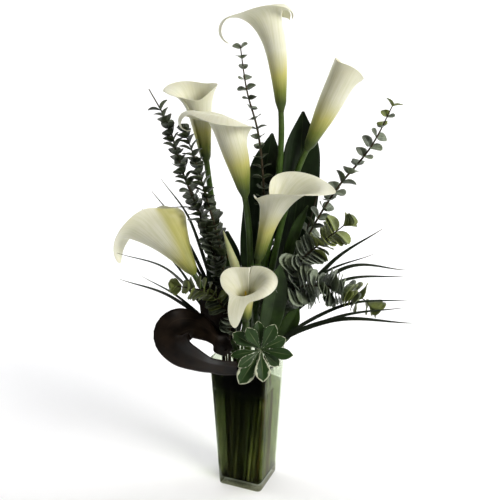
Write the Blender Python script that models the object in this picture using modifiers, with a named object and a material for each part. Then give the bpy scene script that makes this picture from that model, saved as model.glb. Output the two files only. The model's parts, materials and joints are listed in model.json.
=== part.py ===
"""Calla lilies with mixed greenery in a tall square glass vase.

Metres, +Z up. The origin is the middle of the vase's foot, on the surface that it stands on, and the
bouquet is seen from -Y. Every stem is straight in the water and smoothly curved above it, and every leaf
is a thin sheet with a real thickness.
"""

import math
import random

import bmesh
import bpy
from mathutils import Quaternion, Vector
from mathutils.bvhtree import BVHTree

MM = 0.001
GAP = 0.3 * MM
UP = Vector((0, 0, 1))
SEED = 7

# Points closer than this are one, and faces whose directions differ by less than this lie in one plane.
WELD = 0.01 * MM
ONE_PLANE = math.radians(0.05)

# The vase: a square glass, wider at the mouth, turned about its middle. The last two say how far past the
# water a stem's hole and its straight stretch run, and how far past the mouth the glass is cut.
VASE_HEIGHT = 230 * MM
MOUTH_SIDE = 95 * MM
FOOT_SIDE = 75 * MM
GLASS_WALL = 4 * MM
GLASS_BASE = 12 * MM
VASE_TURN = math.radians(-22.9)
OUTER_CORNER = 8 * MM
INNER_CORNER = 5 * MM
FOOT_ROUND = 3 * MM
WATER_LEVEL = 172 * MM
HOLE_OVER = 6 * MM
CUT_OVER = 5 * MM

# Stems stand in two rings. All of them turn by the same angle from the mouth down to the foot.
TWIST = math.radians(-28)
CORE_MOUTH = 22 * MM
CORE_FOOT = 17.5 * MM
RING_MOUTH = 37 * MM
RING_FOOT = 29 * MM
CORNER_REACH = 0.45

# Lily stems and spathes
LILY_STEM = 6 * MM
LILY_NECK = 3.9 * MM
SPATHE_SHEET = 1.2 * MM
SPATHE_ROWS = 8
SPATHE_COLUMNS = 14
SPATHE_SPIRAL = 2.6 * MM
SPATHE_SLEEVE = 7 * MM
NECK_CLEARANCE = 0.5 * MM
MERIDIAN_STEPS = 24
ROWS_TO_RIM = 1.6
TUBE_LEAN = 4
WRAP_FOOT = math.radians(195)
WRAP_START = 0.3
TAIL_SPREAD = 0.25
ROLL_START = 0.77
SPADIX_LENGTH = 48 * MM
SPADIX_RADIUS = 3 * MM

# Foliage
SPRIG_STEM = 1.7 * MM
STALK = 2.3 * MM
LEAF_SHEET = 0.9 * MM
LEAF_RATIO = 0.98
LEAF_CUP = 0.2
ROOT_HALF = 0.5 * MM
CLEARANCE = 0.5 * MM
BLADE_SINK = 8 * MM
BUD_RADIUS = 7 * MM

# What a leaf pair tries in turn until it is clear: which of its two leaves, a turn and a change of lift.
BOTH = (1, -1)
LEAF_TRIES = [(BOTH, turn, lift) for lift in (0, -16, 14) for turn in (0, 20, -20, 42, -42, 68, -68)]
LEAF_TRIES += [(one, turn, lift) for lift in (0, -20) for turn in (0, 35, -35, 80, -80)
               for one in ((1,), (-1,))]


def mm(x, y, z):
    """A point or an offset given in millimetres."""
    return Vector((x, y, z)) * MM


# Each lily: its slot in the core ring in degrees (None is the middle), where the spathe starts, the way its
# tube points there, and the way its tip points. Lengths from the foot to the rim, how far the sheet leans
# outward below the rim and how much farther the rim rolls, in degrees, are each given at the tip, at the
# sides and at the overlap. Then come the tail's length and curl, how far each way the sheet still wraps at
# the rim, how late the flare comes, the tube's own lean, the turn of the overlap from its place across from
# the tip, and how much longer one side is than the other. The sways add flare or roll on one side and take it
# off the other, the belly swells the tube's lower half, the roll may start lower than usual, the peel lifts the
# overlap's outer edge, and a hand of -1 turns the overlap round.
LILIES = {
    "top": dict(slot=90, base=(50, 30, 607), axis=(-6, -2, 80), tip=(-1, -0.1, 0), length=(167, 176, 170),
                flare=(94, 40, -30), flare_sway=-20, roll=(0, 90, 230), tail=50, curl=160, wrap=158, late=3.5,
                tube=3.5, belly=2),
    "right": dict(slot=30, base=(89, 27, 550), axis=(37, -4, 80), tip=(0.9, 0.5, 0), length=(128, 140, 139),
                  flare=(8, 11, 8), roll=(45, 0, 0), tail=8, curl=20, wrap=186, late=1, belly=4, shift=120),
    "left_back": dict(slot=150, base=(-63, 40, 529), axis=(-8, -4, 80), tip=(-1, 0.2, 0),
                      length=(132, 110, 118), skew=-9, flare=(88, 30, 38), roll=(0, 0, 0), tail=6, curl=80,
                      wrap=182, late=4.5, tube=6, belly=2, shift=-130),
    "left_front": dict(slot=None, base=(-4, -18, 487), axis=(-14, -3, 75), tip=(-1, -0.2, 0),
                       length=(165, 150, 94), flare=(84, 40, 8), flare_sway=-24, roll=(20, 120, 20),
                       roll_from=0.7, tail=38, curl=170, wrap=158, late=5, tube=7, belly=5),
    "centre": dict(slot=-30, base=(16, -28, 389), axis=(14, -3, 59), tip=(1, -0.1, 0.1),
                   length=(174, 138, 104), skew=4, flare=(88, 46, 4), roll=(10, 15, 40), tail=2, curl=10,
                   wrap=172, late=2.4, shift=-20, hand=-1, peel=20),
    "low_left": dict(slot=-150, base=(-82, -12, 364), axis=(-34, 16, 50), tip=(-1, 0.1, -0.5),
                     length=(143, 127, 106), flare=(52, 12, 34), roll=(80, 20, -66), tail=26, curl=40, wrap=184,
                     late=1.4, tube=14),
    "low_front": dict(slot=-90, base=(-2, -55, 305), axis=(-1, -15, 54), tip=(-0.32, -0.95, -0.3),
                      length=(76, 97, 86), skew=8, flare=(60, 78, 34), flare_sway=8, roll=(50, 30, 30),
                      roll_sway=40, tail=42, curl=80, wrap=180, late=2.6),
}

# Eucalyptus: the angle of its slot in the outer ring, the points its stem passes above the mouth, how far
# along that stretch its leaves run, how many pairs they make, a leaf's width low, in the middle and high,
# and its lift from the stem in degrees.
SPRIGS = {
    "left_outer": dict(slot=163, points=((-50, -5, 385), (-97, -10, 527), (-115, -12, 594), (-141, -12, 645)),
                       span=(0.32, 0.93), pairs=11, leaf=(25, 23, 19), lift=58),
    "left_inner": dict(slot=178, points=((-39, -10, 388), (-60, -16, 483), (-81, -18, 558), (-93, -18, 588)),
                       span=(0.38, 0.99), pairs=10, leaf=(25, 22, 18), lift=58),
    "thin": dict(slot=110, points=((26, 35, 371), (25, 39, 484), (16, 42, 574), (-1, 42, 637), (-11, 40, 704)),
                 span=(0.42, 0.99), pairs=11, leaf=(18, 17, 14), lift=70),
    "tall_right": dict(slot=12, points=((66, 10, 356), (100, 8, 434), (136, 0, 499), (181, -8, 561),
                                        (210, -14, 625)),
                       span=(0.44, 0.99), pairs=9, leaf=(24, 22, 16), lift=65),
    "woody_right": dict(slot=24, points=((67, 20, 352), (92, 22, 425), (108, 22, 487)),
                        span=(0.80, 0.90), pairs=1, leaf=(17, 16, 15), lift=65),
    "mid_right": dict(slot=0, points=((50, -14, 325), (79, -28, 390), (115, -34, 426), (138, -37, 446)),
                      span=(0.38, 0.97), pairs=9, leaf=(32, 33, 27), lift=74, twist=25),
    "low_right": dict(slot=-36, points=((42, -28, 314), (71, -38, 351), (123, -51, 358), (170, -58, 343)),
                      span=(0.42, 0.97), pairs=9, leaf=(33, 38, 30), lift=82, twist=14),
    "low_left": dict(slot=-139, points=((-30, -31, 300), (-54, -46, 345), (-94, -56, 360)),
                     span=(0.42, 0.96), pairs=6, leaf=(25, 26, 21), lift=72, twist=20),
}

# Young yellow-green tips that carry on from three of the sprigs: the end point, and as above.
TIPS = {
    "mid_right": dict(end=(149, -38, 456), pairs=2, leaf=(20, 17, 14), lift=50),
    "low_right": dict(end=(188, -60, 331), pairs=2, leaf=(24, 19, 17), lift=50),
    "low_left": dict(end=(-109, -59, 362), pairs=2, leaf=(17, 15, 13), lift=50),
}

# Grass tufts: the slot, the top of the stalk, and each blade's middle and end points and width.
TUFTS = {
    "left_high": dict(slot=147, top=(-38, 22, 262), blades=(
        ((-92, 44, 438), (-135, 48, 501), 6), ((-108, 50, 422), (-152, 58, 480), 6),
        ((-112, 60, 397), (-171, 76, 446), 5), ((-74, 42, 448), (-128, 62, 453), 7))),
    "left_low": dict(slot=-168, top=(-42, -11, 250), blades=(
        ((-118, -10, 368), (-199, -12, 399), 5), ((-112, -18, 326), (-195, -24, 361), 6),
        ((-100, -14, 322), (-161, -20, 364), 5), ((-98, 24, 346), (-152, 42, 408), 5))),
    "right_high": dict(slot=-12, top=(44, -6, 258), blades=(
        ((128, 2, 377), (206, 0, 434), 8), ((150, 6, 368), (247, 4, 366), 8),
        ((140, -4, 348), (242, -4, 359), 7), ((112, 12, 352), (196, 16, 388), 6))),
    "right_low": dict(slot=-49, top=(34, -40, 250), blades=(
        ((140, -62, 332), (239, -70, 345), 6), ((132, -68, 316), (230, -74, 334), 6),
        ((122, -58, 306), (242, -80, 312), 8))),
}
GRASS_FACE = Vector((0, -0.7, 0.7))

# Broad leaves: the slot, where the blade starts, the points along its middle, its width and the way its
# face looks.
BROAD = {
    "back_right": dict(slot=58, points=((52, 36, 320), (68, 40, 400), (80, 44, 500), (84, 44, 606)),
                       width=62, face=(0.1, -1, 0.1)),
    "back_middle": dict(slot=92, points=((1, 48, 320), (13, 55, 400), (26, 58, 500), (38, 57, 571)),
                        width=58, face=(0.2, -1, 0.1)),
    "strap": dict(slot=38, points=((46, 22, 300), (56, 18, 355), (74, 14, 425), (92, 10, 468)),
                  width=18, face=(-0.4, -1, 0)),
    "back_left": dict(slot=130, points=((-30, 32, 300), (-40, 40, 371), (-52, 44, 436)),
                      width=24, face=(-0.3, -1, 0.1)),
    "front_right": dict(slot=-62, points=((24, -43, 256), (37, -47, 318), (48, -48, 392)),
                        width=36, face=(0.2, -1, 0.2)),
    "folded": dict(slot=-24, points=((48, -24, 256), (64, -38, 290), (78, -46, 322)),
                   width=26, face=(-0.5, -1, 0.4)),
    "shaded_left": dict(slot=120, points=((-20, 44, 242), (-33, 53, 300), (-38, 60, 358), (-33, 65, 412)),
                        width=58, face=(-0.1, -1, 0.1)),
    "shaded_right": dict(slot=68, points=((22, 45, 264), (38, 52, 312), (54, 57, 362), (63, 60, 416)),
                         width=46, face=(0.1, -1, 0.1)),
}

# Brown-black leaves left of the mouth: one stands, the other is looped back on itself.
DARK = {
    "standing": dict(slot=-154, points=((-38, -24, 262), (-45, -24, 304), (-62, -23, 350)), width=52,
                     faces=((0, -1, 0.1), (0, -1, 0.1))),
    "looped": dict(slot=-122, points=((-34, -42, 252), (-62, -50, 286), (-90, -54, 298), (-112, -62, 288),
                                      (-102, -73, 268), (-76, -80, 255), (-46, -85, 247), (-16, -86, 244)),
                   width=60, span=0.8, faces=((-0.2, -1, 0.3), (-0.1, -0.3, 1), (-0.2, -0.4, 0.8), (-0.3, -1, 0.1),
                                    (-0.3, -0.9, -0.3), (-0.3, -0.7, -0.6), (-0.2, -0.8, -0.5))),
}

# The rosette of white-edged leaves: its middle, and each leaf's clock angle, length and width.
ROSETTE_SLOT = -76
ROSETTE_MIDDLE = (20, -76, 268)
ROSETTE_LEAVES = ((150, 48, 22), (122, 42, 20), (96, 42, 18), (62, 46, 22), (24, 40, 20), (-8, 50, 18),
                  (192, 46, 14), (216, 44, 16), (238, 60, 27), (274, 48, 24), (318, 36, 18))

# The pale bud behind the low front lily
BUD_SLOT = -106
BUD_BASE = (-13, -35, 368)
BUD_TIP = (-36, -36, 441)

COLOURS = {
    "glass": ((0.62, 0.70, 0.62), 0.05),
    "water": ((0.70, 0.76, 0.62), 0.05),
    "stem": ((0.16, 0.30, 0.05), 0.45),
    "spathe": ((0.86, 0.83, 0.68), 0.45),
    "spadix": ((0.80, 0.62, 0.12), 0.7),
    "eucalyptus": ((0.13, 0.19, 0.16), 0.7),
    "young": ((0.42, 0.45, 0.12), 0.6),
    "grass": ((0.06, 0.11, 0.04), 0.5),
    "broad": ((0.04, 0.12, 0.03), 0.4),
    "dark": ((0.02, 0.014, 0.012), 0.4),
    "rosette": ((0.10, 0.22, 0.08), 0.45),
    "bud": ((0.72, 0.72, 0.45), 0.5),
}

PLACED = {}


def clear_scene():
    for item in list(bpy.data.objects):
        bpy.data.objects.remove(item)


def new_collection(name):
    group = bpy.data.collections.new(name)
    bpy.context.scene.collection.children.link(group)
    return group


def material(name):
    """A Principled material, made once for each name."""
    if name in bpy.data.materials:
        return bpy.data.materials[name]
    colour, roughness = COLOURS[name]
    made = bpy.data.materials.new(name)
    made.use_nodes = True
    shader = made.node_tree.nodes["Principled BSDF"]
    shader.inputs["Base Color"].default_value = (*colour, 1)
    shader.inputs["Roughness"].default_value = roughness
    shader.inputs["Metallic"].default_value = 0
    return made


def object_from(bm, name, group):
    """A new object in the group that holds the bmesh."""
    mesh = bpy.data.meshes.new(name)
    bm.to_mesh(mesh)
    bm.free()
    made = bpy.data.objects.new(name, mesh)
    group.objects.link(made)
    return made


def baked(item):
    """Replaces an object by a welded plain mesh of what its modifiers make, with few triangles."""
    bpy.context.view_layer.update()
    mesh = bpy.data.meshes.new_from_object(item.evaluated_get(bpy.context.evaluated_depsgraph_get()))
    plain = bpy.data.objects.new(item.name, mesh)
    plain.matrix_world = item.matrix_world
    group = item.users_collection[0]
    name = item.name
    bpy.data.objects.remove(item)
    group.objects.link(plain)
    plain.name = name
    bm = bmesh.new()
    bm.from_mesh(mesh)
    bmesh.ops.remove_doubles(bm, verts=bm.verts, dist=WELD)
    bmesh.ops.dissolve_limit(bm, angle_limit=ONE_PLANE, verts=bm.verts, edges=bm.edges)
    bmesh.ops.triangulate(bm, faces=bm.faces)
    bmesh.ops.recalc_face_normals(bm, faces=bm.faces)
    bm.to_mesh(mesh)
    bm.free()
    return plain


def largest_body(item):
    """Drops the loose scraps and fills the sealed hollows that a union can leave."""
    bm = bmesh.new()
    bm.from_mesh(item.data)
    bm.verts.ensure_lookup_table()
    bodies = []
    unseen = set(bm.verts)
    while unseen:
        body = {unseen.pop()}
        waiting = list(body)
        while waiting:
            vert = waiting.pop()
            fresh = {edge.other_vert(vert) for edge in vert.link_edges} & unseen
            unseen -= fresh
            body |= fresh
            waiting += fresh
        bodies.append(body)
    bodies.sort(key=len, reverse=True)
    for body in bodies[1:]:
        bmesh.ops.delete(bm, geom=list(body), context="VERTS")
    bm.to_mesh(item.data)
    bm.free()


def fuse(body, pieces, solver="EXACT"):
    """One union of a body with a collection of pieces, applied."""
    group = new_collection(body.name + "_pieces")
    for piece in pieces:
        for holder in list(piece.users_collection):
            holder.objects.unlink(piece)
        group.objects.link(piece)
    join = body.modifiers.new("join", "BOOLEAN")
    join.operation = "UNION"
    join.operand_type = "COLLECTION"
    join.collection = group
    join.solver = solver
    fused = baked(body)
    for piece in pieces:
        bpy.data.objects.remove(piece)
    bpy.data.collections.remove(group)
    largest_body(fused)
    return fused


def cut(body, cutters):
    """One difference of a body with a collection of cutters, applied."""
    group = bpy.data.collections["cutters"]
    for cutter in cutters:
        for holder in list(cutter.users_collection):
            holder.objects.unlink(cutter)
        group.objects.link(cutter)
        cutter.hide_render = True
        cutter.display_type = "WIRE"
    bore = body.modifiers.new("bore", "BOOLEAN")
    bore.operation = "DIFFERENCE"
    bore.operand_type = "COLLECTION"
    bore.collection = group
    result = baked(body)
    for cutter in cutters:
        bpy.data.objects.remove(cutter)
    return result


def tree_of(item, swell=0.0):
    """A search tree of an object's faces, pushed outward by the swell."""
    mesh = item.data
    points = [item.matrix_world @ (vert.co + vert.normal * swell) for vert in mesh.vertices]
    return BVHTree.FromPolygons(points, [tuple(face.vertices) for face in mesh.polygons])


def remember(name, item):
    """Notes where a finished piece lies, so that later leaves keep clear of it."""
    PLACED[name] = tree_of(item)


def is_clear(item, own):
    """Whether a leaf keeps its clearance from all that is placed, but for its own sprig."""
    swollen = tree_of(item, CLEARANCE)
    return not any(tree.overlap(swollen) for name, tree in PLACED.items() if name != own)


def finish(item, group, colour, name=None):
    """Moves a finished piece to the part's collection with its name and material."""
    for holder in list(item.users_collection):
        holder.objects.unlink(item)
    group.objects.link(item)
    if name:
        item.name = name
        item.data.name = name
    item.data.materials.clear()
    item.data.materials.append(material(colour))
    item.data.shade_smooth()
    item.data.set_sharp_from_angle(angle=math.radians(40))
    remember(item.name, item)
    return item


def spline(points, start=None, end=None, steps=20):
    """A dense smooth curve through the points, with its first and last directions if they are given."""
    last = len(points) - 1
    tangents = []
    for index, point in enumerate(points):
        if index == 0:
            reach = (points[1] - point).length
            tangents.append(start.normalized() * reach if start else points[1] - point)
        elif index == last:
            reach = (point - points[-2]).length
            tangents.append(end.normalized() * reach if end else point - points[-2])
        else:
            before = point - points[index - 1]
            after = points[index + 1] - point
            mean = (before.normalized() + after.normalized()).normalized()
            tangents.append(mean * min(before.length, after.length) * 1.1)
    dense = []
    for index in range(last):
        for step in range(steps + (index == last - 1)):
            t = step / steps
            dense.append(
                points[index] * (1 + 2 * t) * (1 - t) ** 2
                + tangents[index] * t * (1 - t) ** 2
                + points[index + 1] * t * t * (3 - 2 * t)
                + tangents[index + 1] * t * t * (t - 1)
            )
    return dense


def resample(dense, count):
    """The given number of points, evenly far apart along a dense curve."""
    lengths = [0.0]
    for before, after in zip(dense, dense[1:]):
        lengths.append(lengths[-1] + (after - before).length)
    spread = []
    index = 0
    for step in range(count):
        target = lengths[-1] * step / (count - 1)
        while index < len(dense) - 2 and lengths[index + 1] < target:
            index += 1
        part = (target - lengths[index]) / (lengths[index + 1] - lengths[index])
        spread.append(dense[index].lerp(dense[index + 1], part))
    return spread


def between(vectors, part):
    """The vector at a part of the way along a list of them."""
    at = part * (len(vectors) - 1)
    index = min(int(at), len(vectors) - 2)
    return Vector(vectors[index]).lerp(Vector(vectors[index + 1]), at - index)


def side_reach(angle):
    """How much farther than a circle the vase's square lets a stem stand at that angle."""
    turned = angle - VASE_TURN
    return (1 / max(abs(math.cos(turned)), abs(math.sin(turned)))) ** CORNER_REACH


def slot_line(degrees, core=False):
    """The foot and mouth points of a stem's straight stretch, whose leaning foot just clears the base."""
    if degrees is None:
        return UP * (GLASS_BASE + GAP), UP * VASE_HEIGHT
    mouth_angle = math.radians(degrees)
    foot_angle = mouth_angle + TWIST
    mouth_radius = CORE_MOUTH if core else RING_MOUTH * side_reach(mouth_angle)
    foot_radius = CORE_FOOT if core else RING_FOOT * side_reach(foot_angle)
    mouth = Vector((math.cos(mouth_angle), math.sin(mouth_angle), 0)) * mouth_radius
    foot = Vector((math.cos(foot_angle), math.sin(foot_angle), 0)) * foot_radius
    slant = (mouth - foot).length / (VASE_HEIGHT - GLASS_BASE)
    rise = GAP + slant * (LILY_STEM if core else STALK)
    return foot + UP * (GLASS_BASE + rise), mouth + UP * VASE_HEIGHT


def stem_points(slot, above, count, core=False, end=None):
    """A stem's foot, then evenly spread points from the water's surface up to its end."""
    foot, mouth = slot_line(slot, core)
    along = (mouth - foot).normalized()
    surface = foot.lerp(mouth, (WATER_LEVEL + HOLE_OVER - foot.z) / (mouth.z - foot.z))
    return [foot] + resample(spline([surface, mouth] + above, start=along, end=end), count)


def tube(name, points, radii, group, resolution=2):
    """A closed round tube on a curve, as a plain mesh."""
    curve = bpy.data.curves.new(name, "CURVE")
    curve.dimensions = "3D"
    curve.bevel_depth = max(radii)
    curve.bevel_resolution = resolution
    curve.use_fill_caps = True
    line = curve.splines.new("POLY")
    line.points.add(len(points) - 1)
    for node, point, radius in zip(line.points, points, radii):
        node.co = (*point, 1)
        node.radius = radius / max(radii)
    item = bpy.data.objects.new(name, curve)
    group.objects.link(item)
    return baked(item)


def sheet(name, rows, columns, place, thickness, group):
    """A thin solid sheet on a grid, whose points the place function gives from 0 to 1 both ways."""
    bm = bmesh.new()
    bmesh.ops.create_grid(bm, x_segments=columns, y_segments=rows, size=1)
    for vert in bm.verts:
        column = round((vert.co.x + 1) / 2 * columns) / columns
        row = round((vert.co.y + 1) / 2 * rows) / rows
        vert.co = place(column, row)
    bmesh.ops.triangulate(bm, faces=bm.faces)
    item = object_from(bm, name, group)
    solid = item.modifiers.new("thickness", "SOLIDIFY")
    solid.thickness = thickness
    solid.offset = 0
    solid.use_even_offset = True
    return baked(item)


def ribbon(name, centres, sides, half_widths, columns, fold, group, thickness=LEAF_SHEET):
    """A leaf blade: rows across a centre line, whose edges rise by the fold times the half width."""

    def place(column, row):
        index = round(row * (len(centres) - 1))
        across = 2 * column - 1
        tangent = centres[min(index + 1, len(centres) - 1)] - centres[max(index - 1, 0)]
        lift = sides[index].cross(tangent).normalized()
        offset = sides[index] * across + lift * (fold * abs(across))
        return centres[index] + offset * half_widths[index]

    return sheet(name, len(centres) - 1, columns, place, thickness, group)


def hollow_block(name, foot_side, mouth_side, low, high, corner, foot_round, group):
    """A tapered square block with rounded corners and, where asked, a rounded foot."""
    bm = bmesh.new()
    bmesh.ops.create_cube(bm, size=1)
    for vert in bm.verts:
        side = mouth_side if vert.co.z > 0 else foot_side
        vert.co = Vector((vert.co.x * side, vert.co.y * side, high if vert.co.z > 0 else low))
    upright = [edge for edge in bm.edges if abs(edge.verts[0].co.z - edge.verts[1].co.z) > MM]
    bmesh.ops.bevel(bm, geom=upright, offset=corner, segments=3, profile=0.5, affect="EDGES",
                    offset_type="OFFSET", clamp_overlap=True)
    if foot_round:
        around = [edge for edge in bm.edges if max(vert.co.z for vert in edge.verts) < low + MM]
        bmesh.ops.bevel(bm, geom=around, offset=foot_round, segments=2, profile=0.5, affect="EDGES",
                        offset_type="OFFSET", clamp_overlap=True)
    item = object_from(bm, name, group)
    item.rotation_euler.z = VASE_TURN
    return item


def inner_side(height):
    """The vase's clear width inside at a height."""
    return FOOT_SIDE + (MOUTH_SIDE - FOOT_SIDE) * height / VASE_HEIGHT - 2 * GLASS_WALL


def make_vase(group):
    body = hollow_block("vase", FOOT_SIDE, MOUTH_SIDE, 0, VASE_HEIGHT, OUTER_CORNER, FOOT_ROUND, group)
    above = VASE_HEIGHT + CUT_OVER
    cavity = hollow_block("cavity", inner_side(GLASS_BASE), inner_side(above), GLASS_BASE, above,
                          INNER_CORNER, 0, group)
    finish(cut(body, [cavity]), group, "glass", "vase")


def make_water(group, lines):
    """The water, with a plain hole for each stem: lines holds each stem's two ends and radius."""
    low = GLASS_BASE + GAP
    body = hollow_block("water", inner_side(low) - 2 * GAP, inner_side(WATER_LEVEL) - 2 * GAP, low,
                        WATER_LEVEL, INNER_CORNER, 0, group)
    holes = []
    for foot, mouth, radius in lines:
        along = (mouth - foot).normalized()
        sides = 8 if radius == LILY_STEM else 6
        bore = (radius + GAP) / math.cos(math.pi / sides)
        start = foot - along * HOLE_OVER
        holes.append(tube("hole", [start, start + mouth - foot], [bore, bore], group, sides // 2 - 2))
    finish(cut(body, holes), group, "water", "water")


def round_mix(values, angle, sway=0):
    """A smooth value round the tube from those at the tip, at the sides and at the overlap."""
    tip, side, back = values
    mean = (tip + 2 * side + back) / 4
    even = mean + (tip - back) / 2 * math.cos(angle) + (tip - 2 * side + back) / 4 * math.cos(2 * angle)
    return even + sway * math.sin(angle)


def lily_frame(lily):
    """The spathe's foot, the way its tube points, the way its tip points, and the way across both."""
    axis = Vector(lily["axis"]).normalized()
    tip = Vector(lily["tip"])
    tip = (tip - axis * tip.dot(axis)).normalized()
    return mm(*lily["base"]), axis, tip, axis.cross(tip)


def eased(part):
    """From 0 to 1, slow at both ends."""
    part = min(1.0, max(0.0, part))
    return part * part * (3 - 2 * part)


def spathe_point(lily, across, along):
    """A point of the spathe, across from -1 to 1 round the tube and along from 0 to 1 up it.

    It follows the sheet up from the foot in short steps, each of which leans out from the tube's line by
    the flare, by the roll near the rim and by the curl in the tail.
    """
    base, axis, tip, side = lily_frame(lily)
    opened = eased((along - WRAP_START) / (1 - WRAP_START))
    wrap = WRAP_FOOT + (math.radians(lily["wrap"]) - WRAP_FOOT) * opened
    angle = across * wrap + math.radians(lily.get("shift", 0))
    near_tip = math.exp(-(math.remainder(angle, math.tau) / TAIL_SPREAD) ** 2)
    length = round_mix(lily["length"], angle, lily.get("skew", 0)) * MM
    tail = lily["tail"] * near_tip * MM
    lean_low = math.radians(lily.get("tube", TUBE_LEAN))
    outer = across * lily.get("hand", 1)
    peel = lily.get("peel", 0) * outer ** 3
    flare = math.radians(round_mix(lily["flare"], angle, lily.get("flare_sway", 0)) + peel) - lean_low
    roll = math.radians(round_mix(lily["roll"], angle, lily.get("roll_sway", 0)))
    roll_start = lily.get("roll_from", ROLL_START)
    belly = math.radians(lily.get("belly", 0))
    curl = math.radians(lily["curl"]) * near_tip
    radius = LILY_NECK + NECK_CLEARANCE + SPATHE_SHEET / 2 + SPATHE_SPIRAL * (outer + 1) / 2
    radial = tip * math.cos(angle) + side * math.sin(angle)
    point = base + radial * radius
    stride = (length + tail) * along / MERIDIAN_STEPS
    for step in range(MERIDIAN_STEPS):
        gone = stride * (step + 0.5)
        part = min(1.0, gone / length)
        in_tail = max(0.0, gone - length) / max(tail, 0.01 * MM)
        rolled = eased((part - roll_start) / (1 - roll_start))
        lean = lean_low + flare * part ** lily["late"] + roll * rolled + curl * in_tail
        lean += belly * math.sin(math.tau * part)
        point += (axis * math.cos(lean) + radial * math.sin(lean)) * stride
    return point


def make_spathe(key, lily, group):
    def place(column, row):
        return spathe_point(lily, 2 * column - 1, 1 - (1 - row) ** ROWS_TO_RIM)

    item = sheet("spathe", SPATHE_ROWS, SPATHE_COLUMNS, place, SPATHE_SHEET, group)
    finish(item, group, "spathe", f"lily_{key}_spathe")


def make_lily_stem(key, lily, group):
    """The stem, whose top stands a little way up inside the spathe's tube."""
    base, axis, _, _ = lily_frame(lily)
    top = base + axis * SPATHE_SLEEVE
    points = stem_points(lily["slot"], [base], 8, core=True, end=axis) + [top]
    reach = [max(0.0, point.z - VASE_HEIGHT) for point in points]
    radii = [LILY_STEM + (LILY_NECK - LILY_STEM) * min(1, part / reach[-2]) for part in reach]
    finish(tube("stem", points, radii, group), group, "stem", f"lily_{key}_stem")


def make_spadix(key, lily, group):
    base, axis, _, _ = lily_frame(lily)
    start = base + axis * (SPATHE_SLEEVE + GAP)
    shape = ((0, 0.75), (0.2, 1), (0.7, 0.95), (1, 0.4))
    points = [start + axis * SPADIX_LENGTH * part for part, _ in shape]
    radii = [SPADIX_RADIUS * width for _, width in shape]
    finish(tube("spadix", points, radii, group), group, "spadix", f"lily_{key}_spadix")


def turned(vector, axis, angle):
    """The vector turned about a unit axis."""
    return Quaternion(axis, angle) @ vector


def leaf_pair(place, tangent, out, lift, twist, width, sides, group):
    """Round leaves on one thin plate, whose narrow middle is sunk in the stem.

    sides holds 1 and -1 for both leaves of a pair, or one of them for a single leaf.
    """
    shape = ((1, 0.26), (0.55, 0.5))
    square = tangent.cross(out)
    length = width * LEAF_RATIO
    centres = [place]
    across = [square]
    halves = [ROOT_HALF]
    for side in sides:
        along = tangent * math.cos(lift) + out * side * math.sin(lift)
        over = turned(square, along, twist * side)
        cup = over.cross(along) * side
        rim = [place + along * length * reach - cup * length * (1 - reach) * LEAF_CUP for reach, _ in shape]
        widths = [width * half for _, half in shape]
        if side == 1:
            centres = rim + centres
            across = [over] * 2 + across
            halves = widths + halves
        else:
            centres = centres + rim[::-1]
            across = across + [over] * 2
            halves = halves + widths[::-1]
    if len(sides) == 1:
        root = place - out * sides[0] * SPRIG_STEM * 0.5
        centres[centres.index(place)] = root
    return ribbon("leaf", centres, across, halves, 1, 0, group)


def pair_frame(points, along, turn):
    """The place, the stem's direction and the leaf's direction at a part of the way along a stem."""
    at = along * (len(points) - 1)
    index = min(int(at), len(points) - 2)
    place = points[index].lerp(points[index + 1], at - index)
    tangent = (points[index + 1] - points[index]).normalized()
    level = tangent.cross(Vector((0, -1, 0.2))).normalized()
    return place, tangent, level * math.cos(turn) + tangent.cross(level) * math.sin(turn)


def three_way(values, part):
    """A value that runs through three given ones."""
    return between([(value, 0, 0) for value in values], part).x


def leaf_pairs(own, points, sprig, span, draw, group):
    """Opposite leaves along a stem, each pair a quarter turn from the last and clear of all else."""
    leaves = []
    for index in range(sprig["pairs"]):
        part = index / max(1, sprig["pairs"] - 1)
        along = span[0] + (span[1] - span[0]) * part
        quarter = index * math.radians(90) + draw.uniform(-0.3, 0.3)
        width = three_way(sprig["leaf"], part) * MM * draw.uniform(0.93, 1.05)
        lift = sprig["lift"] + draw.uniform(-8, 8)
        twist = math.radians(draw.uniform(-1, 1) * sprig.get("twist", 38))
        for sides, turn_by, lift_by in LEAF_TRIES:
            place, tangent, out = pair_frame(points, along, quarter + math.radians(turn_by))
            leaf = leaf_pair(place, tangent, out, math.radians(lift + lift_by), twist, width, sides, group)
            if is_clear(leaf, own):
                leaves.append(leaf)
                break
            bpy.data.objects.remove(leaf)
    return leaves


def sprig_points(key):
    """A sprig's stem, from its foot in the water to its end."""
    sprig = SPRIGS[key]
    return stem_points(sprig["slot"], [mm(*point) for point in sprig["points"]], 10)


def tip_points(key):
    """A young tip's points, which start a gap past the end of its sprig."""
    points = sprig_points(key)
    end = mm(*TIPS[key]["end"])
    start = points[-1] + (end - points[-1]).normalized() * GAP
    return [start, start.lerp(end, 0.5), end]


def make_tube_stems(group):
    """All of the foliage's stems, noted first so that every leaf keeps clear of each one."""
    stems = {}
    for key in SPRIGS:
        points = sprig_points(key)
        radii = [SPRIG_STEM] * (len(points) - 3) + [SPRIG_STEM * part for part in (0.8, 0.65, 0.5)]
        stems[f"eucalyptus_{key}"] = tube("stem", points, radii, group, 0)
    for key, tuft in TUFTS.items():
        points = stem_points(tuft["slot"], [mm(*tuft["top"])], 4)
        stems[f"grass_{key}"] = tube("stalk", points, [STALK] * len(points), group, 1)
    for key, leaf in {**BROAD, **DARK}.items():
        points = stem_points(leaf["slot"], [mm(*leaf["points"][0])], 4)
        family = "broad_leaf" if key in BROAD else "dark_leaf"
        stems[f"{family}_{key}"] = tube("stalk", points, [STALK] * len(points), group, 1)
    points = stem_points(ROSETTE_SLOT, [mm(*ROSETTE_MIDDLE)], 6)
    stems["white_edged_rosette"] = tube("stalk", points, [SPRIG_STEM] * len(points), group, 1)
    for name, item in stems.items():
        remember(name, item)
    return stems


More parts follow.
